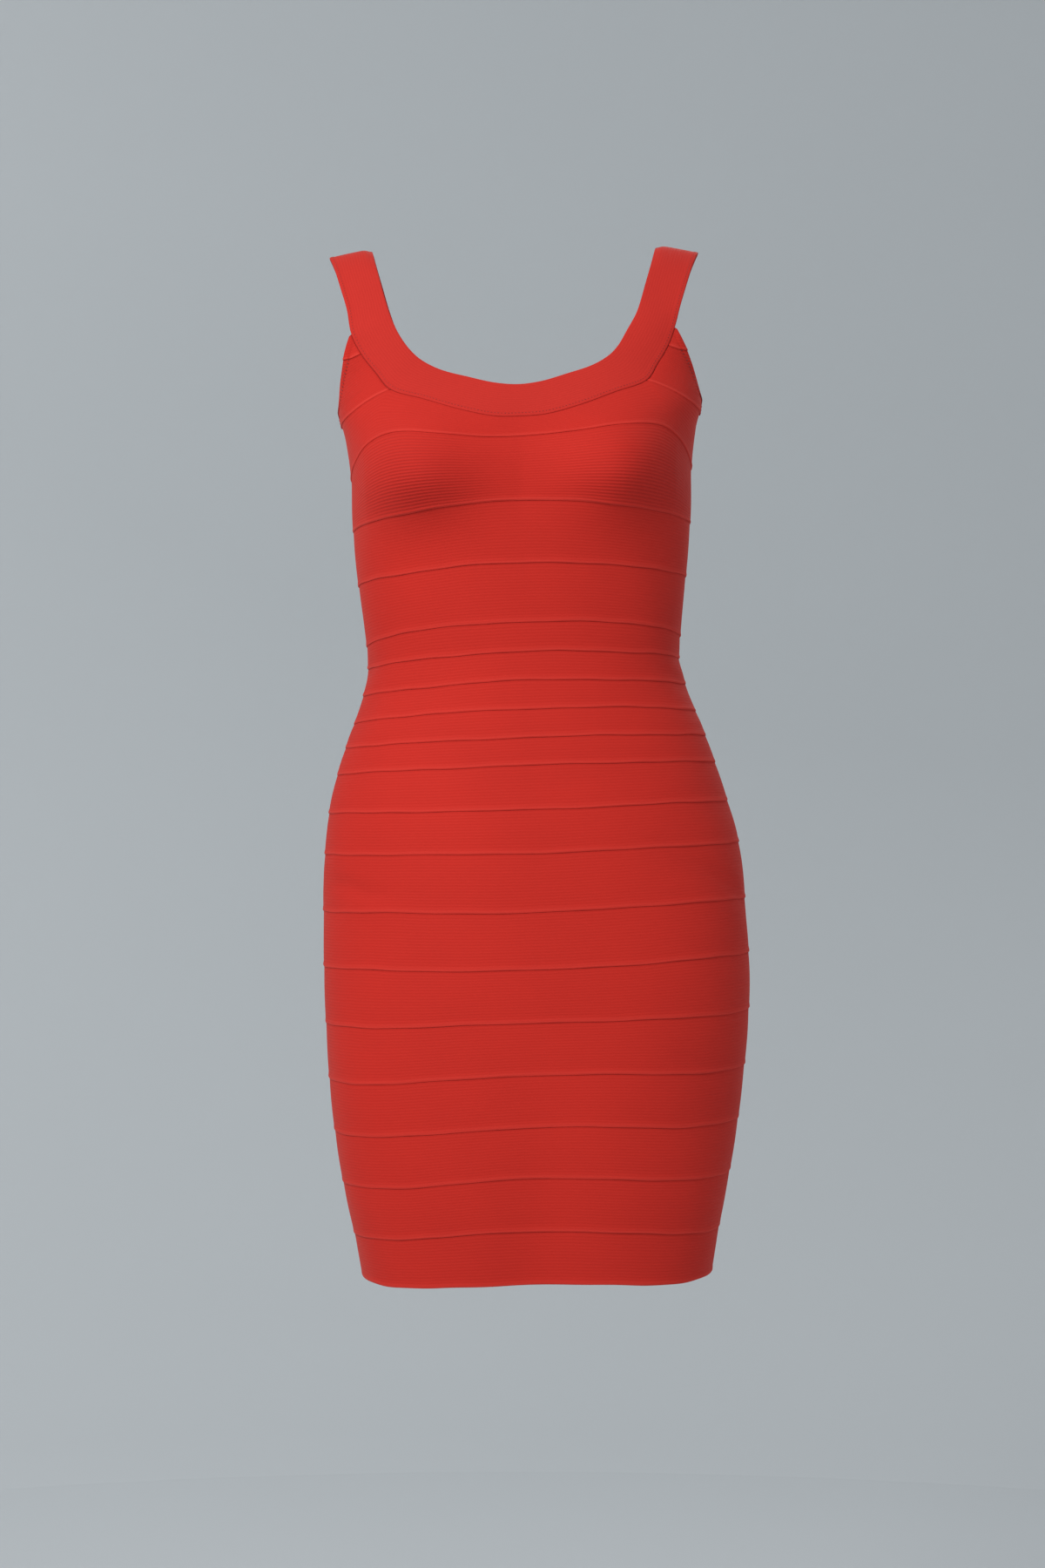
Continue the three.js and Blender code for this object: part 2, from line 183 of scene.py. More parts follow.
NECKBAND = (
    Station(Mark(0, -113.6), Mark(0, -139.8)),
    Station(Mark(17, -111.8), Mark(19.7, -138.9)),
    Station(Mark(37, -106.3), Mark(46, -132.3)),
    Station(Mark(58, -99.5), Mark(72.4, -122.8)),
    Station(Mark(71.5, -91.6), Mark(97.5, -113.1)),
    Station(Mark(79.5, -83.5), Mark(107.5, -99.5)),
    Station(Mark(87.4, -71), Mark(117.7, -84.1)),
    Station(Mark(94.2, -57), Mark(124.4, -68.7)),
    Station(Mark(99.5, -40.6), Mark(128.6, -50), -34.5, 51.5),
    Station(Mark(104.3, -23), Mark(134.3, -31), -22.5, 42.5),
    Station(Mark(108.4, -7.8), Mark(139.4, -14.9), -9.5, 31.5),
    Station(Mark(110.6, 1.3), Mark(143.2, -5.4), 2, 21),
    Station(Mark(111.5, 4.3), Mark(144.6, -2.6), 12, 12),
)
UNDERARM_SEAM = (
    Mark(97.5, -113.1),
    Mark(116, -121),
    Mark(130, -128.5),
    Mark(138.4, -133.3),
    Mark(143, -135),
)
SHOULDER_SEAM = (Mark(117.7, -84.1), Mark(125.8, -87), Mark(132.6, -87.6))
ARMHOLE_EDGE = (
    Mark(126.4, -70.6),
    Mark(129.4, -78.4),
    Mark(132.6, -87.6),
    Mark(136.2, -102),
    Mark(138.8, -116.5),
    Mark(141.4, -128),
    Mark(143, -135),
)


class Cut(NamedTuple):
    """An end of a piece beside the armhole, by the band's station and the armhole's row."""

    station: float
    armhole_row: float
    gap: float
    rows: tuple[Mark, ...] = ()


ARMHOLE_TOP = Cut(7, 0, SEAM_GAP)
SHOULDER_CUT = Cut(6, 2, SEAM_GAP, SHOULDER_SEAM)
UNDERARM_CUT = Cut(4, 6, SLOPE_GAP, UNDERARM_SEAM)


class Crease(NamedTuple):
    """A soft trough or ridge of the worn cloth, by its middle, lean, length, width and depth."""

    angle: float
    z: float
    lean: float
    long: float
    wide: float
    depth: float


CREASES = (
    Crease(-57, -493, -6, 42, 7, 1.5),
    Crease(-48, -506, -4, 34, 9, -0.7),
    Crease(60, -494, -28, 40, 8, 1.6),
    Crease(52, -510, -22, 36, 9, -0.8),
    Crease(80, -322, -8, 34, 8, 1.1),
    Crease(-79, -326, 9, 30, 8, 1.0),
    Crease(62, -338, -10, 40, 7, 0.7),
    Crease(-58, -348, 8, 44, 8, 0.7),
    Crease(12, -418, 4, 60, 10, 0.5),
    Crease(-18, -352, -5, 50, 9, 0.5),
    Crease(118, -318, 8, 46, 8, 1.2),
    Crease(-124, -324, -10, 42, 8, 1.1),
    Crease(168, -302, 3, 70, 9, 1.3),
    Crease(176, -330, -2, 84, 9, 1.6),
    Crease(-168, -352, -4, 66, 9, 1.0),
    Crease(146, -520, 22, 44, 9, 0.9),
    Crease(-142, -562, -20, 46, 9, 0.9),
    Crease(128, -628, 14, 50, 10, 0.8),
    Crease(-120, -214, 30, 42, 8, 0.9),
    Crease(122, -222, -28, 40, 8, 0.9),
)


def bell(distance: np.ndarray, width: float) -> np.ndarray:
    """Returns a soft bump that falls from 1 over about the given width."""
    return np.exp(-((distance / width) ** 2))


def lerp(a: np.ndarray, b: np.ndarray, t: np.ndarray) -> np.ndarray:
    """Returns the value that lies the share t of the way from a to b."""
    return a + (b - a) * t


def smooth(t: np.ndarray) -> np.ndarray:
    """Returns a soft step from 0 to 1 as t goes from 0 to 1."""
    t = np.clip(t, 0, 1)
    return t * t * (3 - 2 * t)


def unit(vectors: np.ndarray) -> np.ndarray:
    """Returns the vectors along the last axis with length 1."""
    return vectors / np.maximum(np.linalg.norm(vectors, axis=-1, keepdims=True), 1e-9)


@dataclass(frozen=True)
class Curve:
    """A cubic curve through the rows of a small table, for several columns at once.

    Attributes:
        keys: The rows' keys, in rising or falling order.
        values: A row of values for each key.
    """

    keys: tuple[float, ...]
    values: tuple[tuple[float, ...], ...]

    def read(self, at: np.ndarray) -> np.ndarray:
        """Reads every column at the given keys.

        Args:
            at: Keys of any shape. One beyond the table reads the table's end.

        Returns:
            An array of that shape with the columns as its last axis.
        """
        sign = 1.0 if self.keys[1] > self.keys[0] else -1.0
        keys, values = sign * np.array(self.keys), np.array(self.values, float)
        at = sign * np.asarray(at, float)
        last = len(keys) - 1
        rows = np.arange(last + 1)
        before, after = np.maximum(rows - 1, 0), np.minimum(rows + 1, last)
        slopes = (values[after] - values[before]) / (keys[after] - keys[before])[:, None]
        i = np.clip(np.searchsorted(keys, at), 1, last)
        span = keys[i] - keys[i - 1]
        t = np.clip((at - keys[i - 1]) / span, 0, 1)[..., None]
        span, t2, t3 = span[..., None], t**2, t**3
        return (
            (2 * t3 - 3 * t2 + 1) * values[i - 1]
            + (t3 - 2 * t2 + t) * span * slopes[i - 1]
            + (3 * t2 - 2 * t3) * values[i]
            + (t3 - t2) * span * slopes[i]
        )


def numbered(marks: tuple[Mark, ...]) -> Curve:
    """Returns the curve through a table's marks, keyed by their row number."""
    return Curve(tuple(range(len(marks))), tuple(tuple(mark) for mark in marks))


class Places(NamedTuple):
    """Points of the dress with their outward normals."""

    point: np.ndarray
    normal: np.ndarray


class Spots(NamedTuple):
    """Spots of the dress's face by angle and height."""

    angle: np.ndarray
    z: np.ndarray


@dataclass(frozen=True)
class DressForm:
    """The outer face that the worn dress takes, with its cups and the soft creases of its cloth.

    Attributes:
        cup_out: How far out each cup's middle lies.
        cup_z: The cups' height.
        cup_depth: How far they push the front out.
        cup_wide: Their width.
        cup_above: Their length above their middle.
        cup_below: Their length below it.
        span_from: Where the skirt's front starts to sink between its sides.
        span_to: Where it has sunk most.
        span_depth: How far it sinks.
        span_wide: The hollow's width.
        blade_z: The height of the back's spread behind the armholes.
        blade_out: How far the back spreads there.
        blade_tall: The spread's height.
    """

    cup_out: float = 84
    cup_z: float = -184
    cup_depth: float = 25
    cup_wide: float = 46
    cup_above: float = 44
    cup_below: float = 33
    span_from: float = -560
    span_to: float = -800
    span_depth: float = 6
    span_wide: float = 36
    blade_z: float = -112
    blade_out: float = 6
    blade_tall: float = 24

    def sections(self, z: np.ndarray) -> np.ndarray:
        """Returns sway, slope, half width, front, back and round at the heights."""
        return Curve(tuple(s.z for s in SECTIONS), tuple(tuple(s[1:]) for s in SECTIONS)).read(z)

    def cup(self, x: np.ndarray, z: np.ndarray) -> np.ndarray:
        """Returns the share of a cup's depth at a distance out and a height."""
        above, below = bell(z - self.cup_z, self.cup_above), bell(z - self.cup_z, self.cup_below)
        return bell(np.abs(x) - self.cup_out, self.cup_wide) * np.where(z > self.cup_z, above, below)

    def face(self, angle: np.ndarray, z: np.ndarray) -> np.ndarray:
        """Finds points of the face without its creases.

        Args:
            angle: 0 at the centre front, 90 at the left side seam, 180 at the centre back.
            z: Heights.

        Returns:
            The points, with x, y and z as the last axis.
        """
        angle, z = np.broadcast_arrays(np.asarray(angle, float), np.asarray(z, float))
        sway, slope, half, front, back, round_ = np.moveaxis(self.sections(z), -1, 0)
        across, along = np.sin(np.radians(angle)), np.cos(np.radians(angle))
        power = 2 / round_
        x = half * np.sign(across) * np.abs(across) ** power
        y = np.where(along > 0, -front, back) * np.abs(along) ** power
        sunk = self.span_depth * smooth((self.span_from - z) / (self.span_from - self.span_to))
        hollow = sunk * bell(x, self.span_wide) - self.cup_depth * self.cup(x, z)
        y = y + np.where(along > 0, hollow * np.minimum(1, 2 * along), 0)
        spread = self.blade_out * bell(z - self.blade_z, self.blade_tall) * np.sin(2 * np.radians(angle))
        x = x - np.where(along > 0, 0, spread)
        return np.stack([x + sway, y, z + slope * x], axis=-1)

    def relief(self, angle: np.ndarray, z: np.ndarray) -> np.ndarray:
        """Returns how far the worn cloth stands out of the smooth face, less its creases."""
        turn = np.radians(angle)
        rise = 0.3 * np.sin(3 * turn + z / 61) + 0.22 * np.sin(5 * turn - z / 37 + 1.3)
        rise = rise + 0.14 * np.sin(9 * turn + z / 23 + 0.4)
        for crease in CREASES:
            along = ((angle - crease.angle + 180) % 360 - 180) * 2.3
            lean = math.radians(crease.lean)
            down = z - crease.z
            run = along * math.cos(lean) + down * math.sin(lean)
            off = down * math.cos(lean) - along * math.sin(lean)
            wave = off + 1.8 * np.sin(run / 17 + crease.angle)
            rise = rise - crease.depth * bell(run, crease.long) * bell(wave, crease.wide)
        return rise

    def places(self, angle: np.ndarray, z: np.ndarray) -> Places:
        """Finds places of the worn face.

        Args:
            angle: Angles round the dress.
            z: Heights.

        Returns:
            The places, creases included.
        """
        step = NORMAL_STEP
        around = self.face(angle + step, z) - self.face(angle - step, z)
        up = self.face(angle, z + step) - self.face(angle, z - step)
        normal = unit(np.cross(around, up))
        return Places(self.face(angle, z) + normal * self.relief(angle, z)[..., None], normal)

    def kept(self, angle: np.ndarray, half: Half) -> np.ndarray:
        """Returns the angles kept on their own half, up to its side seams."""
        middle = 180 if half is Half.BACK else 0
        return np.clip(angle, middle - 90, middle + 90)

    def angle_at(self, x: np.ndarray, z: np.ndarray, half: Half) -> np.ndarray:
        """Returns the angles at which a half's face stands out by x from its middle."""
        sections = self.sections(z)
        share = np.minimum(1, np.abs(x) / sections[..., 2]) ** (sections[..., 5] / 2)
        angle = np.degrees(np.arcsin(share)) * np.sign(x)
        return self.kept(180 - angle if half is Half.BACK else angle, half)

    def column_angle(self, p: np.ndarray, half: Half) -> np.ndarray:
        """Returns the angles of a half's columns, evenly spread from side seam to side seam."""
        t = 2 * p - 1
        angle = 90 * np.sign(t) * np.abs(t) ** COLUMN_SPREAD
        return 180 + angle if half is Half.BACK else angle

    def seam_height(self, number: int, angle: np.ndarray) -> np.ndarray:
        """Finds a round seam's height, with the small wander of hand-fed sewing.

        Args:
            number: The seam's row in the table.
            angle: Angles round the dress.

        Returns:
            The heights.
        """
        seam = SEAMS[number]
        turned = np.abs((np.asarray(angle) + 180) % 360 - 180)
        keys = (-45, 0, 45, 90, 180, 270)
        heights = (seam.quarter, seam.front, seam.quarter, seam.side, seam.back, seam.side)
        height = Curve(keys, tuple((z,) for z in heights)).read(turned)[..., 0]
        turn = np.radians(angle)
        wander = 0.26 * np.sin(7 * turn + 1.7 * number) + 0.16 * np.sin(17 * turn + 2.9 * number)
        return height + wander

    def rise_at(self, x: np.ndarray, half: Half, meet: float = NECKBAND[7].seam.x) -> np.ndarray:
        """Returns how much higher the back's edge or seam lies than the front's, out to where they meet."""
        return BACK_RISE * np.maximum(0, 1 - (x / meet) ** 2) * (half is Half.BACK)

    def spots(self, marks: tuple[Mark, ...], number: np.ndarray, hand: np.ndarray, half: Half) -> Spots:
        """Finds the spots of a table's marks on one side of one half.

        Args:
            marks: The table.
            number: Row numbers, whole or not.
            hand: The side's sign for each row number.
            half: The front or the back.

        Returns:
            The spots.
        """
        x, z = np.moveaxis(numbered(marks).read(number), -1, 0)
        height = z + self.rise_at(x, half)
        return Spots(self.angle_at(hand * x, height, half), height)


@dataclass(frozen=True)
class SmoothRun:
    """A centripetal Catmull-Rom curve through points in space.

    Attributes:
        points: The points, a row each.
    """

    points: np.ndarray

    def at(self, t: np.ndarray) -> np.ndarray:
        """Reads the curve.

        Args:
            t: Shares of the way along, by point number.

        Returns:
            The points there, with x, y and z as the last axis.
        """
        ends = [2 * self.points[0] - self.points[1], *self.points, 2 * self.points[-1] - self.points[-2]]
        ends = np.array(ends)
        place = np.clip(t, 0, 1) * (len(self.points) - 1)
        i = np.minimum(place.astype(int), len(self.points) - 2)
        w = (place - i)[..., None]
        p0, p1, p2, p3 = ends[i], ends[i + 1], ends[i + 2], ends[i + 3]
        d0, d1, d2 = (
            np.maximum(np.linalg.norm(b - a, axis=-1, keepdims=True), 1e-6) ** 0.5
            for a, b in ((p0, p1), (p1, p2), (p2, p3))
        )
        m1 = ((p1 - p0) / d0 - (p2 - p0) / (d0 + d1) + (p2 - p1) / d1) * d1
        m2 = ((p2 - p1) / d1 - (p3 - p1) / (d1 + d2) + (p3 - p2) / d2) * d1
        c2, c3 = -3 * p1 + 3 * p2 - 2 * m1 - m2, 2 * p1 - 2 * p2 + m1 + m2
        return p1 + m1 * w + c2 * w**2 + c3 * w**3


@dataclass(frozen=True)
class BandRun:
    """The run of one half's neckband from shoulder to shoulder.

    Attributes:
        form: The dress's form.
        half: The front or the back.
    """

    form: DressForm
    half: Half

    @property
    def last(self) -> int:
        """The station at the shoulder top."""
        return len(NECKBAND) - 1

    def curve(self, share: float) -> SmoothRun:
        """Returns the curve that lies a share of the way from the neckline to the seam."""
        points = []
        for k in range(-self.last, self.last + 1):
            station, side = NECKBAND[abs(k)], np.sign(k)
            x = lerp(station.edge.x, station.seam.x, share)
            edge_z = station.edge.z + self.form.rise_at(station.edge.x, self.half, NECKBAND[-1].edge.x)
            z = lerp(edge_z, station.seam.z + self.form.rise_at(station.seam.x, self.half), share)
            if station.y is None:
                angle = self.form.angle_at(np.array(side * x), np.array(z), self.half)
                points.append(self.form.face(angle, np.array(z)))
            else:
                top = SECTIONS[0]
                depth = station.back_y if self.half is Half.BACK else station.y
                points.append(np.array([side * x + top.sway, depth, z + side * top.slope * x]))
        return SmoothRun(np.array(points))

    def points(self, station: np.ndarray, q: np.ndarray) -> np.ndarray:
        """Returns the band's points at stations and shares of its width."""
        t = np.clip(0.5 + station / self.last / 2, 0, 1)
        edge, middle, seam = (self.curve(share).at(t) for share in (0, 0.5, 1))
        q = np.asarray(q)[..., None]
        return (2 * q - 1) * (q - 1) * edge + 4 * q * (1 - q) * middle + q * (2 * q - 1) * seam

    def across(self, station: np.ndarray) -> np.ndarray:
        """Returns the direction from the neckline to the seam at the stations."""
        zero = np.zeros_like(station)
        return unit(self.points(station, zero + 1) - self.points(station, zero))

    def places(self, station: np.ndarray, q: np.ndarray) -> Places:
        """Finds places of the band.

        Args:
            station: Stations, below 0 on the right.
            q: Shares of the way from the neckline to the seam.

        Returns:
            The places. At the shoulder tops they keep the strap seam's gap.
        """
        station, q = np.broadcast_arrays(np.asarray(station, float), np.asarray(q, float))
        step = 0.25 / STATION_STEPS
        along = self.points(station + step, q) - self.points(station - step, q)
        sign = -1 if self.half is Half.BACK else 1
        normal = sign * np.cross(self.across(station), along)
        point = self.points(station, q)
        at_top = np.abs(station) > self.last - 1e-6
        normal[..., 1] = np.where(at_top, 0, normal[..., 1])
        point[..., 1] -= sign * at_top * SEAM_GAP / 2
        return Places(point, unit(normal))

    def beside(self, station: np.ndarray) -> Places:
        """Returns the places just under the band's seam edge."""
        station = np.asarray(station, float)
        place = self.places(station, np.ones_like(station))
        return Places(place.point + self.across(station) * BAND_GAP, place.normal)


def graded(length: float, step: float, fine: tuple[float, ...] = (0.0, 0.08, 0.24, 0.5, 1.0, 1.9)) -> np.ndarray:
    """Spreads rows over a length, close together at both ends, where the cloth's edge is round.

    Args:
        length: The length.
        step: The usual distance between two rows.
        fine: The distances of the close rows from an end.

    Returns:
        The rows' shares of the length, from 0 to 1.
    """
    near = np.array([d for d in fine if d < 0.3 * length])
    middle = np.linspace(near[-1], length - near[-1], max(2, round(length / step)) + 1)[1:-1]
    return np.concatenate([near, middle, length - near[::-1]]) / length


def rolled(distance: np.ndarray, radius: float) -> np.ndarray:
    """Returns how far a round edge has fallen at a distance in from it."""
    inside = np.clip(radius - distance, 0, radius)
    return radius - np.sqrt(radius**2 - inside**2)


@dataclass(frozen=True)
class Panel:
    """One cut piece of cloth as a grid of places, with columns to the right and rows down.

    Attributes:
        name: The piece's name.
        p: The columns' shares of the piece's width.
        q: The rows' shares of its height.
        places: The grid's places.
        stretch: How much longer the piece is worn than cut.
    """

    name: str
    p: np.ndarray
    q: np.ndarray
    places: Places
    stretch: float = STRETCH

    @staticmethod
    def run(points: np.ndarray, axis: int) -> np.ndarray:
        """Returns the distance run along an axis of the grid up to each point."""
        steps = np.linalg.norm(np.diff(points, axis=axis), axis=-1)
        start = np.zeros_like(np.take(steps, [0], axis=axis))
        return np.cumsum(np.concatenate([start, steps], axis=axis), axis=axis)

    @property
    def from_left(self) -> np.ndarray:
        """The distance of each grid point from the left edge."""
        return self.run(self.places.point, 0)

    @property
    def from_top(self) -> np.ndarray:
        """The distance of each grid point from the upper edge."""
        return self.run(self.places.point, 1)

    @property
    def from_right(self) -> np.ndarray:
        """The distance of each grid point from the right edge."""
        return self.from_left[-1:] - self.from_left

    @property
    def from_bottom(self) -> np.ndarray:
        """The distance of each grid point from the lower edge."""
        return self.from_top[:, -1:] - self.from_top

    def outer(self, proud: np.ndarray) -> np.ndarray:
        """Returns the outer face's points, raised by proud."""
        return self.places.point + self.places.normal * proud[..., None]

    def area(self) -> float:
        """Returns the cloth's area in square metres."""
        points = self.places.point * MM
        across, down = points[1:, :-1] - points[:-1, :-1], points[:-1, 1:] - points[:-1, :-1]
        return float(np.linalg.norm(np.cross(across, down), axis=-1).sum())

    def cut(self) -> tuple[tuple[float, float], float]:
        """Returns the flat cut's width and length, and its area, in metres."""
        width = float(self.from_left[-1].max()) * MM / self.stretch
        length = float(self.from_top[:, -1].mean()) * MM
        return (width, length), min(self.area() / self.stretch, width * length)

    def build(self, proud: np.ndarray, wall: np.ndarray, rib: np.ndarray, shade: np.ndarray) -> bpy.types.Object:
        """Builds the piece as a closed wall of cloth.

        Args:
            proud: How far the outer face stands out at each grid point.
            wall: How deep the inner face lies there.
            rib: How strongly the ribs show there, from 0 to 1.
            shade: The painted shade in a seam at each point, up to 1; below 0, the painted highlight on the ridge
                above a seam.

        Returns:
            The new object, with a UV map in metres and the two attributes.
        """
        columns, rows = len(self.p) - 1, len(self.q) - 1
        layer = (columns + 1) * (rows + 1)
        inner = self.outer(-wall)
        points = np.concatenate([self.outer(proud).reshape(-1, 3), inner.reshape(-1, 3)])
        at = np.arange(layer).reshape(columns + 1, rows + 1)
        a, b, c, d = at[:-1, :-1], at[:-1, 1:], at[1:, 1:], at[1:, :-1]
        top, bottom, left, right = at[:, 0], at[:, -1], at[0], at[-1]
        quads = [
            (a, b, c, d),
            (a + layer, d + layer, c + layer, b + layer),
            (top[:-1], top[1:], top[1:] + layer, top[:-1] + layer),
            (bottom[:-1], bottom[:-1] + layer, bottom[1:] + layer, bottom[1:]),
            (left[:-1], left[:-1] + layer, left[1:] + layer, left[1:]),
            (right[:-1], right[1:], right[1:] + layer, right[:-1] + layer),
        ]
        faces = np.concatenate([np.stack(quad, axis=-1).reshape(-1, 4) for quad in quads])
        mesh = bpy.data.meshes.new(self.name)
        mesh.from_pydata(((points - HELD_AT) * MM).tolist(), [], faces.tolist())
        (width, length), _ = self.cut()
        u, v = np.meshgrid(self.p * width * self.stretch, self.q * length, indexing="ij")
        uv = np.tile(np.stack([u, v], axis=-1).reshape(-1, 2), (2, 1))
        mesh.uv_layers.new(name="cloth").data.foreach_set("uv", uv[faces.ravel()].astype(np.float32).ravel())
        for name, values in (("rib", rib), ("shade", shade)):
            attribute = mesh.attributes.new(name, "FLOAT", "POINT")
            attribute.data.foreach_set("value", np.tile(values.ravel(), 2).astype(np.float32))
        mesh.shade_smooth()
        mesh.set_sharp_from_angle(angle=math.radians(58))
        piece = bpy.data.objects.new(self.name, mesh)
        bpy.context.scene.collection.objects.link(piece)
        return piece


class Nodes:
    """A short way to make and join the nodes of a tree."""

    def __init__(self, tree: bpy.types.NodeTree) -> None:
        """Starts on an empty tree.

        Args:
            tree: The tree.
        """
        self.tree = tree
        tree.nodes.clear()

    def add(self, kind: str, inputs: dict[str | int, object] | None = None, **settings: object) -> bpy.types.Node:
        """Adds a node.

        Args:
            kind: The node's type.
            inputs: A value or a socket for each named or numbered input.
            **settings: Properties of the node.

        Returns:
            The new node.
        """
        node = self.tree.nodes.new(kind)
        for name, value in settings.items():
            setattr(node, name, value)
        for key, value in (inputs or {}).items():
            if isinstance(value, bpy.types.NodeSocket):
                self.tree.links.new(value, node.inputs[key])
            else:
                node.inputs[key].default_value = value
        return node

    def math(self, operation: str, *values: object) -> bpy.types.NodeSocket:
        """Returns the result of a Math node on the values or sockets."""
        return self.add("ShaderNodeMath", dict(enumerate(values)), operation=operation).outputs[0]

    def mix(self, share: object, a: object, b: object) -> bpy.types.NodeSocket:
        """Returns a colour that is the share of the way from a to b."""
        node = self.add("ShaderNodeMix", {"Factor": share}, data_type="RGBA")
        for key, value in ((6, a), (7, b)):
            if isinstance(value, bpy.types.NodeSocket):
                self.tree.links.new(value, node.inputs[key])
            else:
                node.inputs[key].default_value = value
        return node.outputs[2]


@dataclass(frozen=True)
class KnitFinish:
    """Heavy elastic knit in a bandage strip, ribbed along the strip.

    Attributes:
        name: The material's name.
        face: The colour of the cloth's face.
        deep: The darker colour of the painted shade in the rib troughs, between the loops and in the seams, also mixed
            in at random by the patches and fibres.
        pale: The colour of the painted highlight on the ridge above a seam.
        rib_pitch: The distance between two ribs.
        wale_pitch: The distance between two columns of loops.
        rib_depth: The ribs' height where they show most.
        loop_depth: The loops' height.
    """

    name: str
    face: tuple[float, float, float, float] = (0.6, 0.022, 0.013, 1)
    deep: tuple[float, float, float, float] = (0.3, 0.008, 0.006, 1)
    pale: tuple[float, float, float, float] = (0.76, 0.06, 0.044, 1)
    rib_pitch: float = 0.0022
    wale_pitch: float = 0.00115
    rib_depth: float = 0.00027
    loop_depth: float = 0.00007

    def material(self) -> bpy.types.Material:
        """Builds the knit's node material.

        Returns:
            The material.
        """
        material = bpy.data.materials.new(self.name)
        material.use_nodes = True
        nodes = Nodes(material.node_tree)
        where = nodes.add("ShaderNodeUVMap", uv_map="cloth").outputs[0]
        split = nodes.add("ShaderNodeSeparateXYZ", {0: where})
        rib = nodes.add("ShaderNodeAttribute", attribute_name="rib").outputs["Fac"]
        shade = nodes.add("ShaderNodeAttribute", attribute_name="shade").outputs["Fac"]
        spot = nodes.add("ShaderNodeTexCoord").outputs["Object"]
        wobble = nodes.add("ShaderNodeTexNoise", {"Vector": spot, "Scale": 34, "Detail": 1}).outputs[0]
        sway = nodes.math("MULTIPLY_ADD", wobble, 1.6, -0.8)
        rib_turn = nodes.math("MULTIPLY_ADD", split.outputs[1], 2 * math.pi / self.rib_pitch, sway)
        ribs = nodes.math("MULTIPLY_ADD", nodes.math("SINE", rib_turn), 0.5, 0.5)
        wale_turn = nodes.math("MULTIPLY_ADD", split.outputs[0], 2 * math.pi / self.wale_pitch, sway)
        half_turn = nodes.math("MULTIPLY", rib_turn, 0.5)
        wales = nodes.math("SINE", nodes.math("ADD", wale_turn, nodes.math("MULTIPLY", half_turn, 2)))
        loops = nodes.math("MULTIPLY_ADD", nodes.math("MULTIPLY", wales, nodes.math("SINE", wale_turn)), 0.5, 0.5)
        fibre = nodes.add("ShaderNodeTexNoise", {"Vector": spot, "Scale": 1900, "Detail": 2}).outputs[0]
        patch = nodes.add("ShaderNodeTexNoise", {"Vector": spot, "Scale": 11, "Detail": 3}).outputs[0]
        height = nodes.math("MULTIPLY", nodes.math("MULTIPLY", ribs, rib), self.rib_depth)
        height = nodes.math("MULTIPLY_ADD", loops, self.loop_depth, height)
        height = nodes.math("MULTIPLY_ADD", fibre, 0.00008, height)
        bump = nodes.add("ShaderNodeBump", {"Height": height, "Strength": 1.0, "Distance": 1.0})
        # Painted shade: the rib troughs and the gaps between the loops get more of the darker colour.
        hollow = nodes.math("MULTIPLY", nodes.math("SUBTRACT", 1, ribs), nodes.math("MULTIPLY", rib, 0.4))
        hollow = nodes.math("MULTIPLY_ADD", nodes.math("SUBTRACT", 1, loops), 0.16, hollow)
        # Painted shade in the seams, from the shade attribute.
        hollow = nodes.math("MULTIPLY_ADD", shade, 0.24, hollow)
        hollow = nodes.math("MULTIPLY_ADD", nodes.math("SUBTRACT", patch, 0.5), 0.34, hollow)
        hollow = nodes.math("MULTIPLY_ADD", nodes.math("SUBTRACT", fibre, 0.5), 0.34, hollow)
        clear = nodes.math("MINIMUM", nodes.math("MAXIMUM", hollow, 0.0), 1.0)
        # Painted highlight: where the shade attribute is below 0, on the ridge above a seam, the colour turns pale.
        raised = nodes.math("MAXIMUM", nodes.math("MULTIPLY", shade, -1.0), 0.0)
        colour = nodes.mix(raised, nodes.mix(clear, self.face, self.deep), self.pale)
        rough = nodes.math("MULTIPLY_ADD", loops, -0.1, 0.86)
        cloth = nodes.add(
            "ShaderNodeBsdfPrincipled",
            {
                "Base Color": colour,
                "Roughness": rough,
                "Sheen Weight": 0.14,
                "Sheen Roughness": 0.45,
                "Sheen Tint": (1.0, 0.4, 0.34, 1.0),
                "Specular IOR Level": 0.22,
                "Normal": bump.outputs[0],
            },
        )
        nodes.add("ShaderNodeOutputMaterial", {"Surface": cloth.outputs[0]})
        return material


@dataclass(frozen=True)
class ThreadFinish:
    """Twisted sewing thread in the cloth's own colour.

    Attributes:
        name: The material's name.
        face: The thread's colour.
        deep: The colour of the painted shade between its plies.
        ply_pitch: The distance between two turns of its twist.
    """

    name: str = "seam_thread"
    face: tuple[float, float, float, float] = (0.27, 0.013, 0.011, 1)
    deep: tuple[float, float, float, float] = (0.16, 0.008, 0.007, 1)
    ply_pitch: float = 0.0005

    def material(self) -> bpy.types.Material:
        """Builds the thread's node material.

        Returns:
            The material.
        """
        material = bpy.data.materials.new(self.name)
        material.use_nodes = True
        nodes = Nodes(material.node_tree)
        spot = nodes.add("ShaderNodeTexCoord").outputs["Object"]
        split = nodes.add("ShaderNodeSeparateXYZ", {0: spot})
        slant = nodes.math("ADD", split.outputs[0], split.outputs[2])
        ply = nodes.math("SINE", nodes.math("MULTIPLY", slant, 2 * math.pi / self.ply_pitch))
        share = nodes.math("MULTIPLY_ADD", ply, 0.5, 0.5)
        bump = nodes.add("ShaderNodeBump", {"Height": share, "Strength": 0.6, "Distance": 0.00005})
        thread = nodes.add(
            "ShaderNodeBsdfPrincipled",
            {
                # Painted shade: darker between the plies.
                "Base Color": nodes.mix(share, self.deep, self.face),
                "Roughness": 0.62,
                "Sheen Weight": 0.15,
                "Specular IOR Level": 0.35,
                "Normal": bump.outputs[0],
            },
        )
        nodes.add("ShaderNodeOutputMaterial", {"Surface": thread.outputs[0]})
        return material


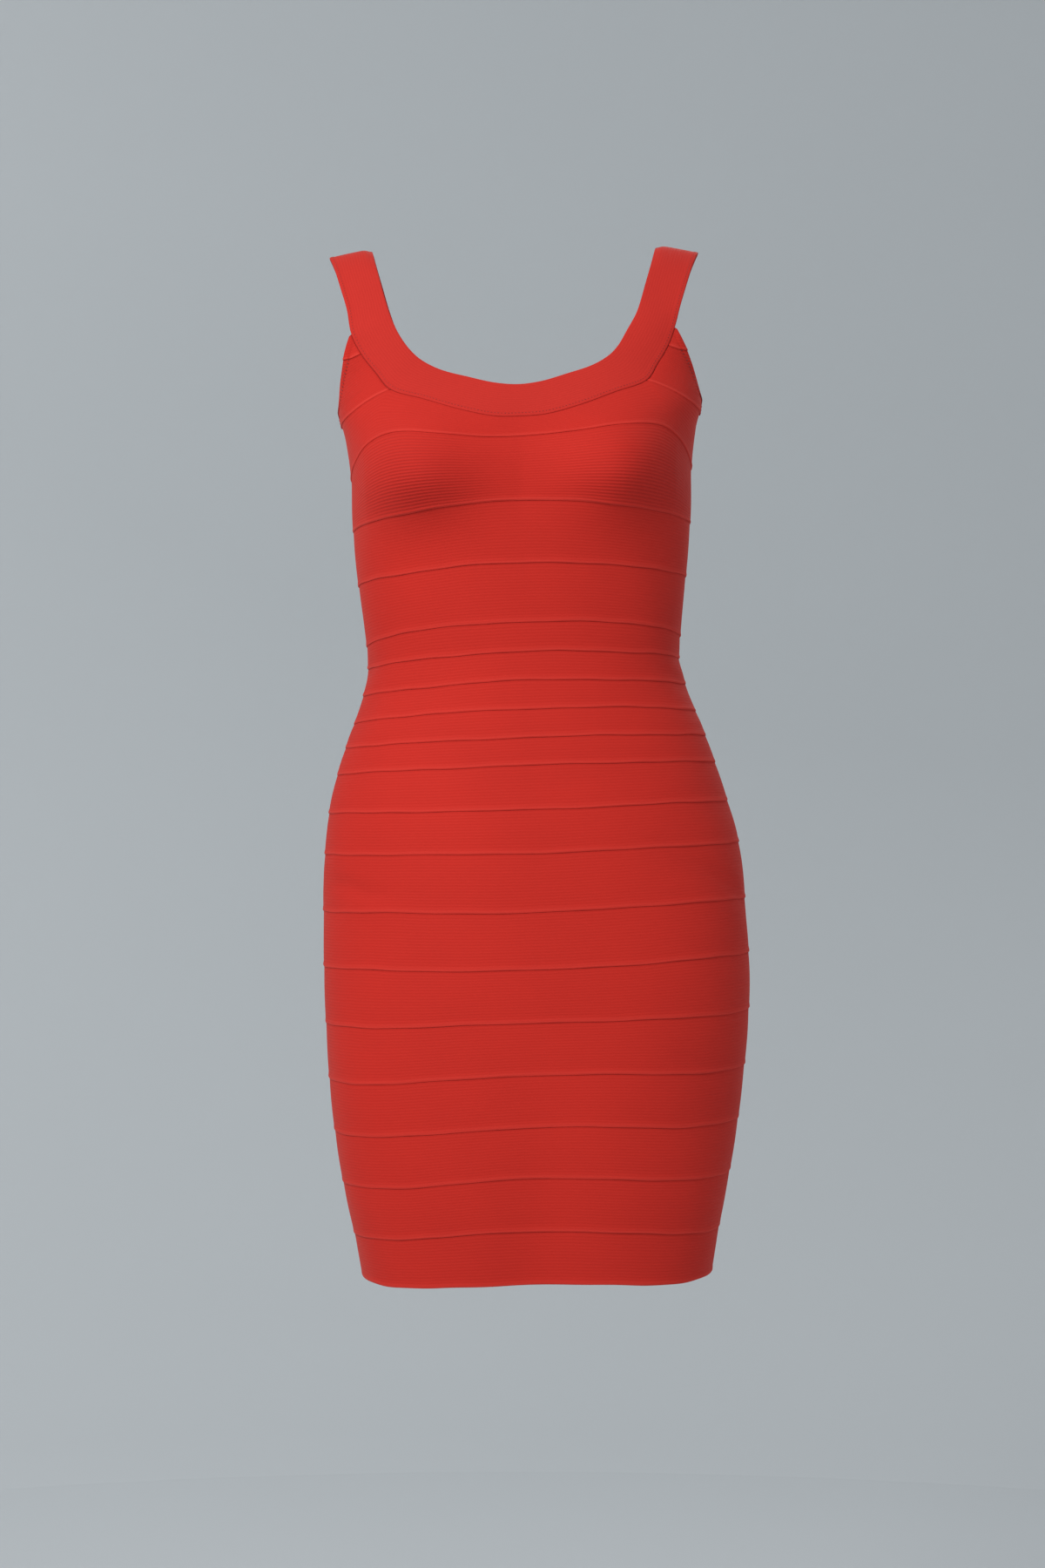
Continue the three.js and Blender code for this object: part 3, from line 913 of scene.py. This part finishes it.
@dataclass(frozen=True)
class StudioFinish:
    """Matt paper of the studio's floor and backdrop.

    Attributes:
        name: The material's name.
        tone: The paper's colour.
        grain: How much its tone varies.
    """

    name: str
    tone: tuple[float, float, float, float]
    grain: float = 0.03

    def material(self) -> bpy.types.Material:
        """Builds the paper's node material.

        Returns:
            The material.
        """
        material = bpy.data.materials.new(self.name)
        material.use_nodes = True
        nodes = Nodes(material.node_tree)
        spot = nodes.add("ShaderNodeTexCoord").outputs["Object"]
        cloud = nodes.add("ShaderNodeTexNoise", {"Vector": spot, "Scale": 1.5, "Detail": 4}).outputs[0]
        darker = tuple(c * (1 - self.grain) for c in self.tone[:3]) + (1.0,)
        paper = nodes.add(
            "ShaderNodeBsdfPrincipled",
            {"Base Color": nodes.mix(cloud, darker, self.tone), "Roughness": 0.9, "Specular IOR Level": 0.1},
        )
        nodes.add("ShaderNodeOutputMaterial", {"Surface": paper.outputs[0]})
        return material


@dataclass(frozen=True)
class StitchRow:
    """A row of running stitches along a line on the cloth, made with Geometry Nodes.

    Attributes:
        name: The row's name.
        line: The line's places, in millimetres.
        pitch: The distance between two stitches.
        length: The length of one stitch on the face.
        thick: The thread's thickness.
        turn: The angle between a stitch and the line.
        seed: The seed of the stitches' small differences.
    """

    name: str
    line: Places
    pitch: float = 3.0
    length: float = 1.9
    thick: float = 0.5
    turn: float = 0.0
    seed: int = 7

    @staticmethod
    def tree() -> bpy.types.NodeTree:
        """Builds the node tree that sets stitches along a line.

        Returns:
            The tree, with named inputs for its sizes.
        """
        tree = bpy.data.node_groups.new("running_stitches", "GeometryNodeTree")
        nodes = Nodes(tree)
        socket = tree.interface.new_socket
        socket(name="Geometry", in_out="INPUT", socket_type="NodeSocketGeometry")
        for name in ("Pitch", "Stitch length", "Thread width", "Turn"):
            socket(name=name, in_out="INPUT", socket_type="NodeSocketFloat")
        socket(name="Seed", in_out="INPUT", socket_type="NodeSocketInt")
        socket(name="Thread", in_out="INPUT", socket_type="NodeSocketMaterial")
        socket(name="Geometry", in_out="OUTPUT", socket_type="NodeSocketGeometry")
        given = nodes.add("NodeGroupInput").outputs
        curve = nodes.add("GeometryNodeMeshToCurve", {"Mesh": given["Geometry"]}).outputs[0]
        even = nodes.add("GeometryNodeResampleCurve", {"Curve": curve, "Length": given["Pitch"]}, mode="LENGTH")
        tangent = nodes.add("GeometryNodeInputTangent").outputs[0]
        outward = nodes.add("GeometryNodeInputNamedAttribute", {"Name": "outward"}, data_type="FLOAT_VECTOR")
        turn = nodes.add(
            "FunctionNodeAxesToRotation",
            {"Primary Axis": tangent, "Secondary Axis": outward.outputs[0]},
            primary_axis="X",
            secondary_axis="Z",
        )
        about = nodes.add("FunctionNodeAxisAngleToRotation", {"Axis": (0.0, 0.0, 1.0), "Angle": given["Turn"]})
        turned = nodes.add("FunctionNodeRotateRotation", {0: turn.outputs[0], 1: about.outputs[0]})
        turned.rotation_space = "LOCAL"
        vary = nodes.add("FunctionNodeRandomValue", {"Seed": given["Seed"]}, data_type="FLOAT")
        vary.inputs[2].default_value, vary.inputs[3].default_value = 0.86, 1.1
        long = nodes.math("MULTIPLY", given["Stitch length"], vary.outputs[1])
        scale = nodes.add("ShaderNodeCombineXYZ", {0: long, 1: given["Thread width"], 2: given["Thread width"]})
        stitch = nodes.add("GeometryNodeMeshUVSphere", {"Segments": 8, "Rings": 5, "Radius": 0.5}).outputs[0]
        set_on = nodes.add(
            "GeometryNodeInstanceOnPoints",
            {
                "Points": even.outputs[0],
                "Instance": stitch,
                "Rotation": turned.outputs[0],
                "Scale": scale.outputs[0],
            },
        )
        real = nodes.add("GeometryNodeRealizeInstances", {0: set_on.outputs[0]})
        dressed = nodes.add("GeometryNodeSetMaterial", {"Geometry": real.outputs[0], "Material": given["Thread"]})
        nodes.add("NodeGroupOutput", {0: dressed.outputs[0]})
        return tree

    def build(self, tree: bpy.types.NodeTree, thread: bpy.types.Material) -> bpy.types.Object:
        """Builds the row of stitches as a plain mesh.

        Args:
            tree: The stitches' node tree.
            thread: The thread's material.

        Returns:
            The finished object.
        """
        points = (self.line.point - HELD_AT) * MM
        guide = bpy.data.meshes.new(f"{self.name}_line")
        edges = [(i, i + 1) for i in range(len(points) - 1)]
        guide.from_pydata(points.tolist(), edges, [])
        outward = guide.attributes.new("outward", "FLOAT_VECTOR", "POINT")
        outward.data.foreach_set("vector", self.line.normal.astype(np.float32).ravel())
        carrier = bpy.data.objects.new(f"{self.name}_line", guide)
        bpy.context.scene.collection.objects.link(carrier)
        modifier = carrier.modifiers.new("stitches", "NODES")
        modifier.node_group = tree
        values = {
            "Pitch": self.pitch * MM,
            "Stitch length": self.length * MM,
            "Thread width": self.thick * MM,
            "Turn": math.radians(self.turn),
            "Seed": self.seed,
            "Thread": thread,
        }
        for item in tree.interface.items_tree:
            if item.item_type == "SOCKET" and item.in_out == "INPUT" and item.name in values:
                modifier[item.identifier] = values[item.name]
        evaluated = carrier.evaluated_get(bpy.context.evaluated_depsgraph_get())
        mesh = bpy.data.meshes.new_from_object(evaluated)
        carrier.modifiers.clear()
        bpy.data.objects.remove(carrier)
        mesh.name = self.name
        mesh.shade_smooth()
        stitches = bpy.data.objects.new(self.name, mesh)
        bpy.context.scene.collection.objects.link(stitches)
        return stitches


@dataclass
class SewnPiece:
    """A piece that was cut and sewn in, which stands for one node of the frame.

    Attributes:
        form: The dress's form.
        half: The front or the back.
        finish: The cloth's material.
        slot: The name of a material slot. Not used.
    """

    form: DressForm
    half: Half
    finish: bpy.types.Material
    slot: str = "strip_knit"

    @property
    def node(self) -> str:
        """The frame's node that the piece stands for."""
        raise NotImplementedError

    def panel(self) -> Panel:
        """Lays out the piece's grid of places."""
        raise NotImplementedError

    def proud(self, panel: Panel) -> np.ndarray:
        """Returns how far the piece's face stands out, from its tucked edge to its lapping one."""
        share = panel.from_top / np.maximum(panel.from_top[:, -1:], 1e-6)
        body = lerp(-TUCK, LAP, share) + CROWN * np.sin(np.pi * share)
        turn = panel.p[:, None] * 31 + 2.0 * len(panel.q)
        ridge = 0.44 * (1 + 0.3 * np.sin(turn) + 0.2 * np.sin(2.7 * turn))
        body = body + ridge * bell(panel.from_bottom - 1.4, 0.95)
        body = body - rolled(panel.from_top, 0.22) - rolled(panel.from_bottom, 0.32)
        return body - rolled(panel.from_left, 0.7) - rolled(panel.from_right, 0.7)

    def rib(self, panel: Panel) -> np.ndarray:
        """Returns how strongly the ribs show over the piece."""
        return np.full(panel.places.point.shape[:2], 0.2)

    def wall(self, panel: Panel) -> np.ndarray:
        """Returns how deep the piece's inner face lies."""
        return np.full(panel.places.point.shape[:2], WALL)

    def shade(self, panel: Panel) -> np.ndarray:
        """Returns the painted shade at each point, under the upper edge and beside the side edges, and below 0 the
        painted highlight on the ridge above the lower edge.
        """
        under = bell(panel.from_top, 0.55)
        beside = bell(np.minimum(panel.from_left, panel.from_right), 0.5)
        ridge = bell(panel.from_bottom - 1.2, 0.8)
        return np.clip(0.9 * under + 0.4 * beside - 0.34 * ridge, -1, 1)

    def rests_on(self) -> list[str]:
        """Returns the frame's nodes that the piece is sewn to and hangs from."""
        return []

    def build(self) -> Panel:
        """Returns:
            The piece's panel.
        """
        panel = self.panel()
        piece = panel.build(self.proud(panel), self.wall(panel), self.rib(panel), self.shade(panel))
        piece.data.materials.append(self.finish)
        flat, area = panel.cut()
        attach(piece, "root")
        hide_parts(self.node)
        LOG.info("%s: cut %.0f by %.0f mm", piece.name, flat[0] / MM, flat[1] / MM)
        return panel


@dataclass
class RoundStrip(SewnPiece):
    """One half of a strip that runs round the dress between two seams.

    Attributes:
        number: The strip's number, counted down from the bust.
    """

    number: int = 1

    @property
    def node(self) -> str:
        """The frame's node that the strip stands for."""
        return f"{self.half.value}_strip_{self.number:02d}"

    def panel(self) -> Panel:
        """Lays out the strip between its two seams.

        Returns:
            The strip's panel.
        """
        upper, lower = SEAMS[self.number - 1], SEAMS[self.number]
        p, q = graded(440, 3.0, (0.0, 0.3, 0.8)), graded(upper.quarter - lower.quarter, 2.8)
        angle = self.form.column_angle(p, self.half)[:, None]
        hem = self.number == len(SEAMS) - 1
        top = self.form.seam_height(self.number - 1, angle) - SEAM_GAP / 2
        bottom = self.form.seam_height(self.number, angle) + (0 if hem else SEAM_GAP / 2)
        z = lerp(top, bottom, q[None, :])
        places = self.form.places(np.broadcast_to(angle, z.shape), z)
        return Panel(f"{self.node}_cloth", p, q, places)

    def rib(self, panel: Panel) -> np.ndarray:
        """Returns how strongly the ribs show, most where the cups stretch the strip."""
        point = panel.places.point
        if self.half is Half.BACK or self.number > 1:
            return np.full(point.shape[:2], 0.16)
        return 0.2 + 0.8 * self.form.cup(point[..., 0], point[..., 2] + 6)

    def rests_on(self) -> list[str]:
        """Returns the node above, from which the strip hangs."""
        if self.number == 1:
            return [f"{self.half.value}_bust_top_strip"]
        return [f"{self.half.value}_strip_{self.number - 1:02d}"]


@dataclass
class Neckband(SewnPiece):
    """The wide band of one half, which runs round the neckline and up into two straps.

    Attributes:
        turn_from: The station from which the strap's inner edge turns down.
        turn_down: How far it turns down at the shoulder top.
        turn_width: About how wide the turned edge is.
    """

    slot: str = "neckband_knit"
    turn_from: float = 8.5
    turn_down: float = 2.6
    turn_width: float = 3.6

    @property
    def node(self) -> str:
        """The frame's node that the band stands for."""
        return f"{self.half.value}_neckband"

    def panel(self) -> Panel:
        """Lays out the band from shoulder to shoulder, its inner edge turned down at the shoulder tops.

        Returns:
            The band's panel.
        """
        run = BandRun(self.form, self.half)
        p, q = graded(520, 2.6, (0.0, 0.3, 0.8)), graded(30, 2.2)
        station = (1 - 2 * p if self.half is Half.BACK else 2 * p - 1) * run.last
        places = run.places(*np.meshgrid(station, q, indexing="ij"))
        on_top = smooth((np.abs(station) - self.turn_from) / (run.last - self.turn_from))
        drop = self.turn_down * np.outer(on_top, bell(q * STRAP_WIDTH, self.turn_width))
        return Panel(f"{self.node}_cloth", p, q, Places(places.point - places.normal * drop[..., None], places.normal))

    def proud(self, panel: Panel) -> np.ndarray:
        """Returns how far the band stands out: its neckline edge isn't tucked."""
        share = panel.from_top / np.maximum(panel.from_top[:, -1:], 1e-6)
        body = LAP * share + CROWN * np.sin(np.pi * share)
        body = body + 0.3 * bell(panel.from_bottom - 1.7, 1.25)
        body = body - rolled(panel.from_top, 0.7) - rolled(panel.from_bottom, 0.6)
        return body - rolled(panel.from_left, 0.6) - rolled(panel.from_right, 0.6)

    def wall(self, panel: Panel) -> np.ndarray:
        """Returns how deep the band's inner face lies: the folded neckline edge is thin."""
        return WALL - 0.7 * bell(panel.from_top, 1.3)

    def shade(self, panel: Panel) -> np.ndarray:
        """Returns the painted shade at each point, along the strap seams at the band's ends and along its lower seam.
        """
        at_strap = bell(np.minimum(panel.from_left, panel.from_right), 0.7)
        return 0.6 * at_strap + 0.5 * bell(panel.from_bottom, 0.6)


@dataclass
class BustTopStrip(SewnPiece):
    """The strip under the neckband, with its ends under the arms."""

    @property
    def node(self) -> str:
        """The frame's node that the strip stands for."""
        return f"{self.half.value}_bust_top_strip"

    def panel(self) -> Panel:
        """Lays out the strip between the neckband and the first round seam.

        Returns:
            The strip's panel.
        """
        run = BandRun(self.form, self.half)
        p, q = graded(400, 2.8, (0.0, 0.3, 0.8)), graded(36, 2.4)
        column = np.abs(2 * p - 1) * (HALF_COLUMNS / 2)
        beyond = column - UNDERARM_CUT.station * STATION_STEPS
        station = column / STATION_STEPS
        side = np.where((p < 0.5) == (self.half is Half.BACK), 1.0, -1.0)
        on_band = self.form.spots(tuple(s.seam for s in NECKBAND), station, side, self.half)
        on_arm = self.form.spots(UNDERARM_SEAM, np.maximum(beyond, 0), side, self.half)
        past = beyond > 0
        top = Spots(np.where(past, on_arm.angle, on_band.angle), np.where(past, on_arm.z, on_band.z))
        angle = self.form.column_angle(p, self.half)
        low = self.form.seam_height(0, angle) + SEAM_GAP / 2
        face = self.form.places(
            lerp(top.angle[:, None], angle[:, None], q[None, :]),
            lerp(top.z[:, None], low[:, None], q[None, :]),
        )
        under = self.form.places(top.angle, top.z)
        beside = run.beside(side * np.minimum(station, UNDERARM_CUT.station))
        down = np.array([0, 0, -SLOPE_GAP / 2])
        shift = np.where(past[:, None], down, beside.point - under.point)[:, None, :]
        near = ((1 - q) ** 2)[None, :, None]
        lean = np.where(past[:, None], under.normal, beside.normal)[:, None, :]
        normal = unit(lerp(face.normal, lean, near**2))
        return Panel(f"{self.node}_cloth", p, q, Places(face.point + shift * near, normal))

    def rests_on(self) -> list[str]:
        """Returns the neckband, from which the strip hangs."""
        return [f"{self.half.value}_neckband"]


@dataclass
class ArmholePiece(SewnPiece):
    """A piece between the neckband and one armhole, from its upper cut to its lower one.

    Attributes:
        hand: The wearer's right or left.
        kind: The last words of the node's name.
        upper: The piece's upper cut.
        lower: The piece's lower cut.
        hem: The width of the cloth turned under at the armhole.
    """

    hand: Hand = Hand.LEFT
    kind: str = "armhole_strip"
    upper: Cut = SHOULDER_CUT
    lower: Cut = UNDERARM_CUT
    hem: float = 6.0

    @property
    def node(self) -> str:
        """The frame's node that the piece stands for."""
        return f"{self.half.value}_{self.hand.name.lower()}_{self.kind}"

    @property
    def is_turned(self) -> bool:
        """Whether the piece's columns run from the armhole to the neckband."""
        return (self.hand is Hand.LEFT) == (self.half is Half.BACK)

    def seam_spots(self, cut: Cut, share: np.ndarray, inner: Spots, outer: Spots) -> Spots:
        """Finds the spots along one of the piece's two cuts.

        Args:
            cut: The cut.
            share: Shares of the way from the neckband to the armhole.
            inner: The cut's end at the neckband.
            outer: The cut's end at the armhole.

        Returns:
            The spots.
        """
        if cut.rows:
            number = share * (len(cut.rows) - 1)
            return self.form.spots(cut.rows, number, np.full_like(share, self.hand.value), self.half)
        return Spots(lerp(inner.angle, outer.angle, share), lerp(inner.z, outer.z, share))

    def panel(self) -> Panel:
        """Blends the piece's grid between the spots along its four edges.

        Returns:
            The piece's panel.
        """
        run = BandRun(self.form, self.half)
        tall = 17.0 if self.kind == "shoulder_corner" else 48.0
        p, q = graded(24, 1.3, (0.0, 0.3, 0.8)), graded(tall, 1.8)
        own = 1 - p if self.is_turned else p
        station = lerp(self.upper.station, self.lower.station, q)
        row = lerp(self.upper.armhole_row, self.lower.armhole_row, q)
        side = np.full_like(q, self.hand.value)
        inner = self.form.spots(tuple(s.seam for s in NECKBAND), station, side, self.half)
        outer = self.form.spots(ARMHOLE_EDGE, row, side, self.half)
        ends = [Spots(*(part[i] for part in edge)) for i in (0, -1) for edge in (inner, outer)]
        top = self.seam_spots(self.upper, own, ends[0], ends[1])
        bottom = self.seam_spots(self.lower, own, ends[2], ends[3])
        a, b = own[:, None], q[None, :]
        angle, z = (
            (1 - a) * (inner[k] - (1 - b) * inner[k][0] - b * inner[k][-1])
            + a * (outer[k] - (1 - b) * outer[k][0] - b * outer[k][-1])
            + (1 - b) * top[k][:, None]
            + b * bottom[k][:, None]
            for k in (0, 1)
        )
        up = lerp(-self.upper.gap, self.lower.gap, q) / 2
        face = self.form.places(self.form.kept(angle, self.half), z + up)
        under = self.form.places(inner.angle, inner.z + up)
        beside = run.beside(side * station)
        lift = np.stack([0 * up, 0 * up, up], axis=-1)
        shift = (beside.point + lift - under.point)[None]
        near = ((1 - a) ** 2)[..., None]
        normal = unit(lerp(face.normal, beside.normal[None], near))
        stretch = SMALL_STRETCH if self.kind == "shoulder_corner" else STRETCH
        return Panel(f"{self.node}_cloth", p, q, Places(face.point + shift * near, normal), stretch)

    def from_armhole(self, panel: Panel) -> np.ndarray:
        """Returns each point's distance from the armhole's edge."""
        return panel.from_left if self.is_turned else panel.from_right

    def from_band(self, panel: Panel) -> np.ndarray:
        """Returns each point's distance from the neckband."""
        return panel.from_right if self.is_turned else panel.from_left

    def proud(self, panel: Panel) -> np.ndarray:
        """Returns how far the piece stands out: tucked at the neckband and turned under at the armhole."""
        share = panel.from_top / np.maximum(panel.from_top[:, -1:], 1e-6)
        body = lerp(-TUCK, LAP, share) + CROWN * np.sin(np.pi * share)
        body = lerp(-TUCK, body, smooth(self.from_band(panel) / 7))
        edge = self.from_armhole(panel)
        hem = 0.4 * smooth((self.hem + 0.6 - edge) / 1.2) - 0.34 * bell(edge - self.hem, 0.8)
        body = body + hem * smooth(self.from_band(panel) / 5)
        body = body - rolled(edge, 1.0) - rolled(self.from_band(panel), 0.7)
        body = body + 0.4 * bell(panel.from_bottom - 1.4, 0.95)
        return body - rolled(panel.from_top, 0.5) - rolled(panel.from_bottom, 0.5)

    def shade(self, panel: Panel) -> np.ndarray:
        """Returns the painted shade at each point, along the upper edge, the neckband and the hem's groove, and below
        0 the painted highlight on the ridge above the lower edge.
        """
        under = bell(np.minimum(panel.from_top, self.from_band(panel)), 0.9)
        hem = 0.5 * bell(self.from_armhole(panel) - self.hem, 0.9)
        ridge = bell(panel.from_bottom - 1.2, 0.8)
        return np.clip(under + hem - 0.5 * ridge, -1, 1)

    def rests_on(self) -> list[str]:
        """Returns the neckband, from which the piece hangs."""
        return [f"{self.half.value}_neckband"]

    def stitch_line(self, panel: Panel) -> Places:
        """Finds the line of the hem's stitches, where the piece is wide enough to have them.

        Args:
            panel: The piece's panel.

        Returns:
            The line's places, from the piece's top down.
        """
        edge = self.from_armhole(panel)
        proud = self.proud(panel)
        face = panel.outer(proud)
        points, normals = [], []
        for j in range(2, len(panel.q) - 2):
            order = np.argsort(edge[:, j])
            if edge[order[-1], j] < self.hem + 2.0:
                continue
            reach = edge[order, j]
            points.append([np.interp(self.hem, reach, face[order, j, k]) for k in range(3)])
            normals.append([np.interp(self.hem, reach, panel.places.normal[order, j, k]) for k in range(3)])
        normal = unit(np.array(normals))
        return Places(np.array(points) + 0.12 * normal, normal)


@dataclass
class Dress:
    """The whole dress, piece by piece.

    Attributes:
        form: The form that the worn dress takes.
    """

    form: DressForm = DressForm()

    def band_stitches(self, half: Half, panel: Panel, band: Neckband) -> StitchRow:
        """Lays out the stitches just above the neckband's seam.

        Args:
            half: The front or the back.
            panel: The band's panel.
            band: The band.

        Returns:
            The row of stitches.
        """
        face = panel.outer(band.proud(panel))
        reach = panel.from_bottom
        points = [
            [np.interp(2.6, reach[i, ::-1], face[i, ::-1, k]) for k in range(3)]
            for i in range(4, len(panel.p) - 4)
        ]
        normal = panel.places.normal[4:-4, -3]
        line = Places(np.array(points) + 0.08 * normal, normal)
        return StitchRow(f"{half.value}_neckband_stitches", line, pitch=2.6, length=1.5, thick=0.42, seed=3)

    def build(self) -> None:
        """Builds every piece of the dress and its rows of stitches."""
        body = KnitFinish("strip_knit").material()
        # The neckband's knit is paler and pinker than the strips': painted light, standing for the paler light on the
        # dress's upper part.
        painted_light_band_face = (0.585, 0.026, 0.017, 1)
        band_finish = KnitFinish("neckband_knit", painted_light_band_face, rib_depth=0.00016, rib_pitch=0.0021).material()
        thread = ThreadFinish().material()
        tree = StitchRow.tree()
        for half in Half:
            band = Neckband(self.form, half, band_finish)
            rows = [self.band_stitches(half, band.build(), band)]
            BustTopStrip(self.form, half, body).build()
            for hand in Hand:
                corner = ArmholePiece(
                    self.form, half, body, hand=hand, kind="shoulder_corner", upper=ARMHOLE_TOP, lower=SHOULDER_CUT
                )
                corner.build()
                strip = ArmholePiece(self.form, half, body, hand=hand)
                line = strip.stitch_line(strip.build())
                name = f"{half.value}_{hand.name.lower()}_armhole_stitches"
                rows.append(StitchRow(name, line, pitch=2.7, length=2.8, thick=0.75, turn=80))
            for number in range(1, len(SEAMS)):
                RoundStrip(self.form, half, body, number=number).build()
            for row in rows:
                stitches = row.build(tree, thread)
                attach(stitches, "root")
                LOG.info("%s: %d faces", stitches.name, len(stitches.data.polygons))


@dataclass(frozen=True)
class Studio:
    """The pale studio, its soft lights and the camera.

    Attributes:
        eye: The camera's place, in metres.
        lens: The camera's focal length.
        film: The film's long side.
        floor_z: The floor's height.
        floor_reach: How far the flat floor reaches from the middle.
        wall_reach: How far off the round backdrop stands.
        wall_top: The backdrop's upper edge.
    """

    eye: tuple[float, float, float] = (0.0068, -2.605, -0.4137)
    lens: float = 50.0
    film: float = 23.6
    floor_z: float = -1.45
    floor_reach: float = 2.4
    wall_reach: float = 4.2
    wall_top: float = 1.6

    def stage(self, name: str, profile: list[tuple[float, float]], paper: StudioFinish) -> None:
        """Turns a profile round the middle of the studio, with its face inwards.

        Args:
            name: The name of the stage's part.
            profile: Distances from the middle and heights, from the middle out.
            paper: Its finish.
        """
        turns = np.linspace(0, 2 * math.pi, 96, endpoint=False)
        rings = [(r * np.cos(turns), r * np.sin(turns), np.full_like(turns, z)) for r, z in profile]
        points = np.concatenate([np.stack(ring, axis=-1) for ring in rings])
        at = np.arange(len(points)).reshape(len(profile), len(turns))
        after = np.roll(at, -1, axis=1)
        faces = np.stack([at[:-1], at[1:], after[1:], after[:-1]], axis=-1).reshape(-1, 4).tolist()
        if name == "floor":
            faces.append(at[0].tolist())
        mesh = bpy.data.meshes.new(name)
        mesh.from_pydata(points.tolist(), [], faces)
        mesh.shade_smooth()
        mesh.materials.append(paper.material())
        stage = bpy.data.objects.new(name, mesh)
        bpy.context.scene.collection.objects.link(stage)
        LOG.info("%s is set up", name)

    def light(
        self,
        name: str,
        place: tuple[float, float, float],
        aim: tuple[float, float, float],
        size: float,
        power: float,
        tone: tuple[float, float, float] = (1.0, 1.0, 1.0),
    ) -> None:
        """Sets up a soft square light.

        Args:
            name: The light's name.
            place: Where it stands.
            aim: What it faces.
            size: The side of its square.
            power: Its power in watts.
            tone: Its colour.
        """
        lamp = bpy.data.lights.new(name, "AREA")
        lamp.shape, lamp.size, lamp.energy, lamp.color = "SQUARE", size, power, tone
        stand = bpy.data.objects.new(name, lamp)
        stand.location = place
        stand.rotation_euler = (Vector(aim) - Vector(place)).to_track_quat("-Z", "Y").to_euler()
        stand.visible_camera = False
        bpy.context.scene.collection.objects.link(stand)

    def build(self) -> None:
        """Builds the floor, the backdrop, the lights, the world's light and the camera."""
        z, depth = self.floor_z, self.wall_reach - self.floor_reach
        floor = [(0.02, z), (0.8, z), (1.6, z), (self.floor_reach, z)]
        bends = np.radians(np.linspace(0, 90, 13))
        wall = [(self.floor_reach + depth * math.sin(a), z + depth * (1 - math.cos(a))) for a in bends]
        wall.append((self.wall_reach, self.wall_top))
        tone = (0.56, 0.59, 0.607, 1)
        self.stage("floor", floor, StudioFinish("floor_paper", tone))
        self.stage("backdrop", wall, StudioFinish("backdrop_paper", tone))
        middle = (0.0, 0.0, -0.4)
        self.light("key", (-1.5, -2.1, 1.15), middle, 1.5, 72.0, (1.0, 0.985, 0.96))
        self.light("fill", (2.2, -2.0, 0.1), middle, 1.6, 10.0, (0.95, 0.97, 1.0))
        self.light("back", (0.8, 2.2, 1.6), middle, 1.4, 20.0)
        self.light("wash", (-1.6, 1.2, 1.3), (-1.3, 4.2, 0.1), 1.6, 26.0)
        world = bpy.data.worlds.new("studio")
        world.use_nodes = True
        ground = world.node_tree.nodes["Background"]
        ground.inputs[0].default_value = (0.86, 0.9, 0.95, 1)
        ground.inputs[1].default_value = 0.4
        scene = bpy.context.scene
        scene.world = world
        scene.view_settings.view_transform = "Standard"
        lens = bpy.data.cameras.new("camera")
        lens.lens, lens.sensor_width, lens.sensor_fit = self.lens, self.film, "AUTO"
        camera = bpy.data.objects.new("camera", lens)
        camera.location = self.eye
        camera.rotation_euler = (math.radians(90), 0, 0)
        scene.collection.objects.link(camera)
        scene.camera = camera


def main() -> None:
    """Loads the frame, builds the studio and the dress."""
    logging.basicConfig(level=logging.INFO, format="%(name)s: %(message)s")
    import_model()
    Studio().build()
    Dress().build()


if __name__ == "__main__":
    main()
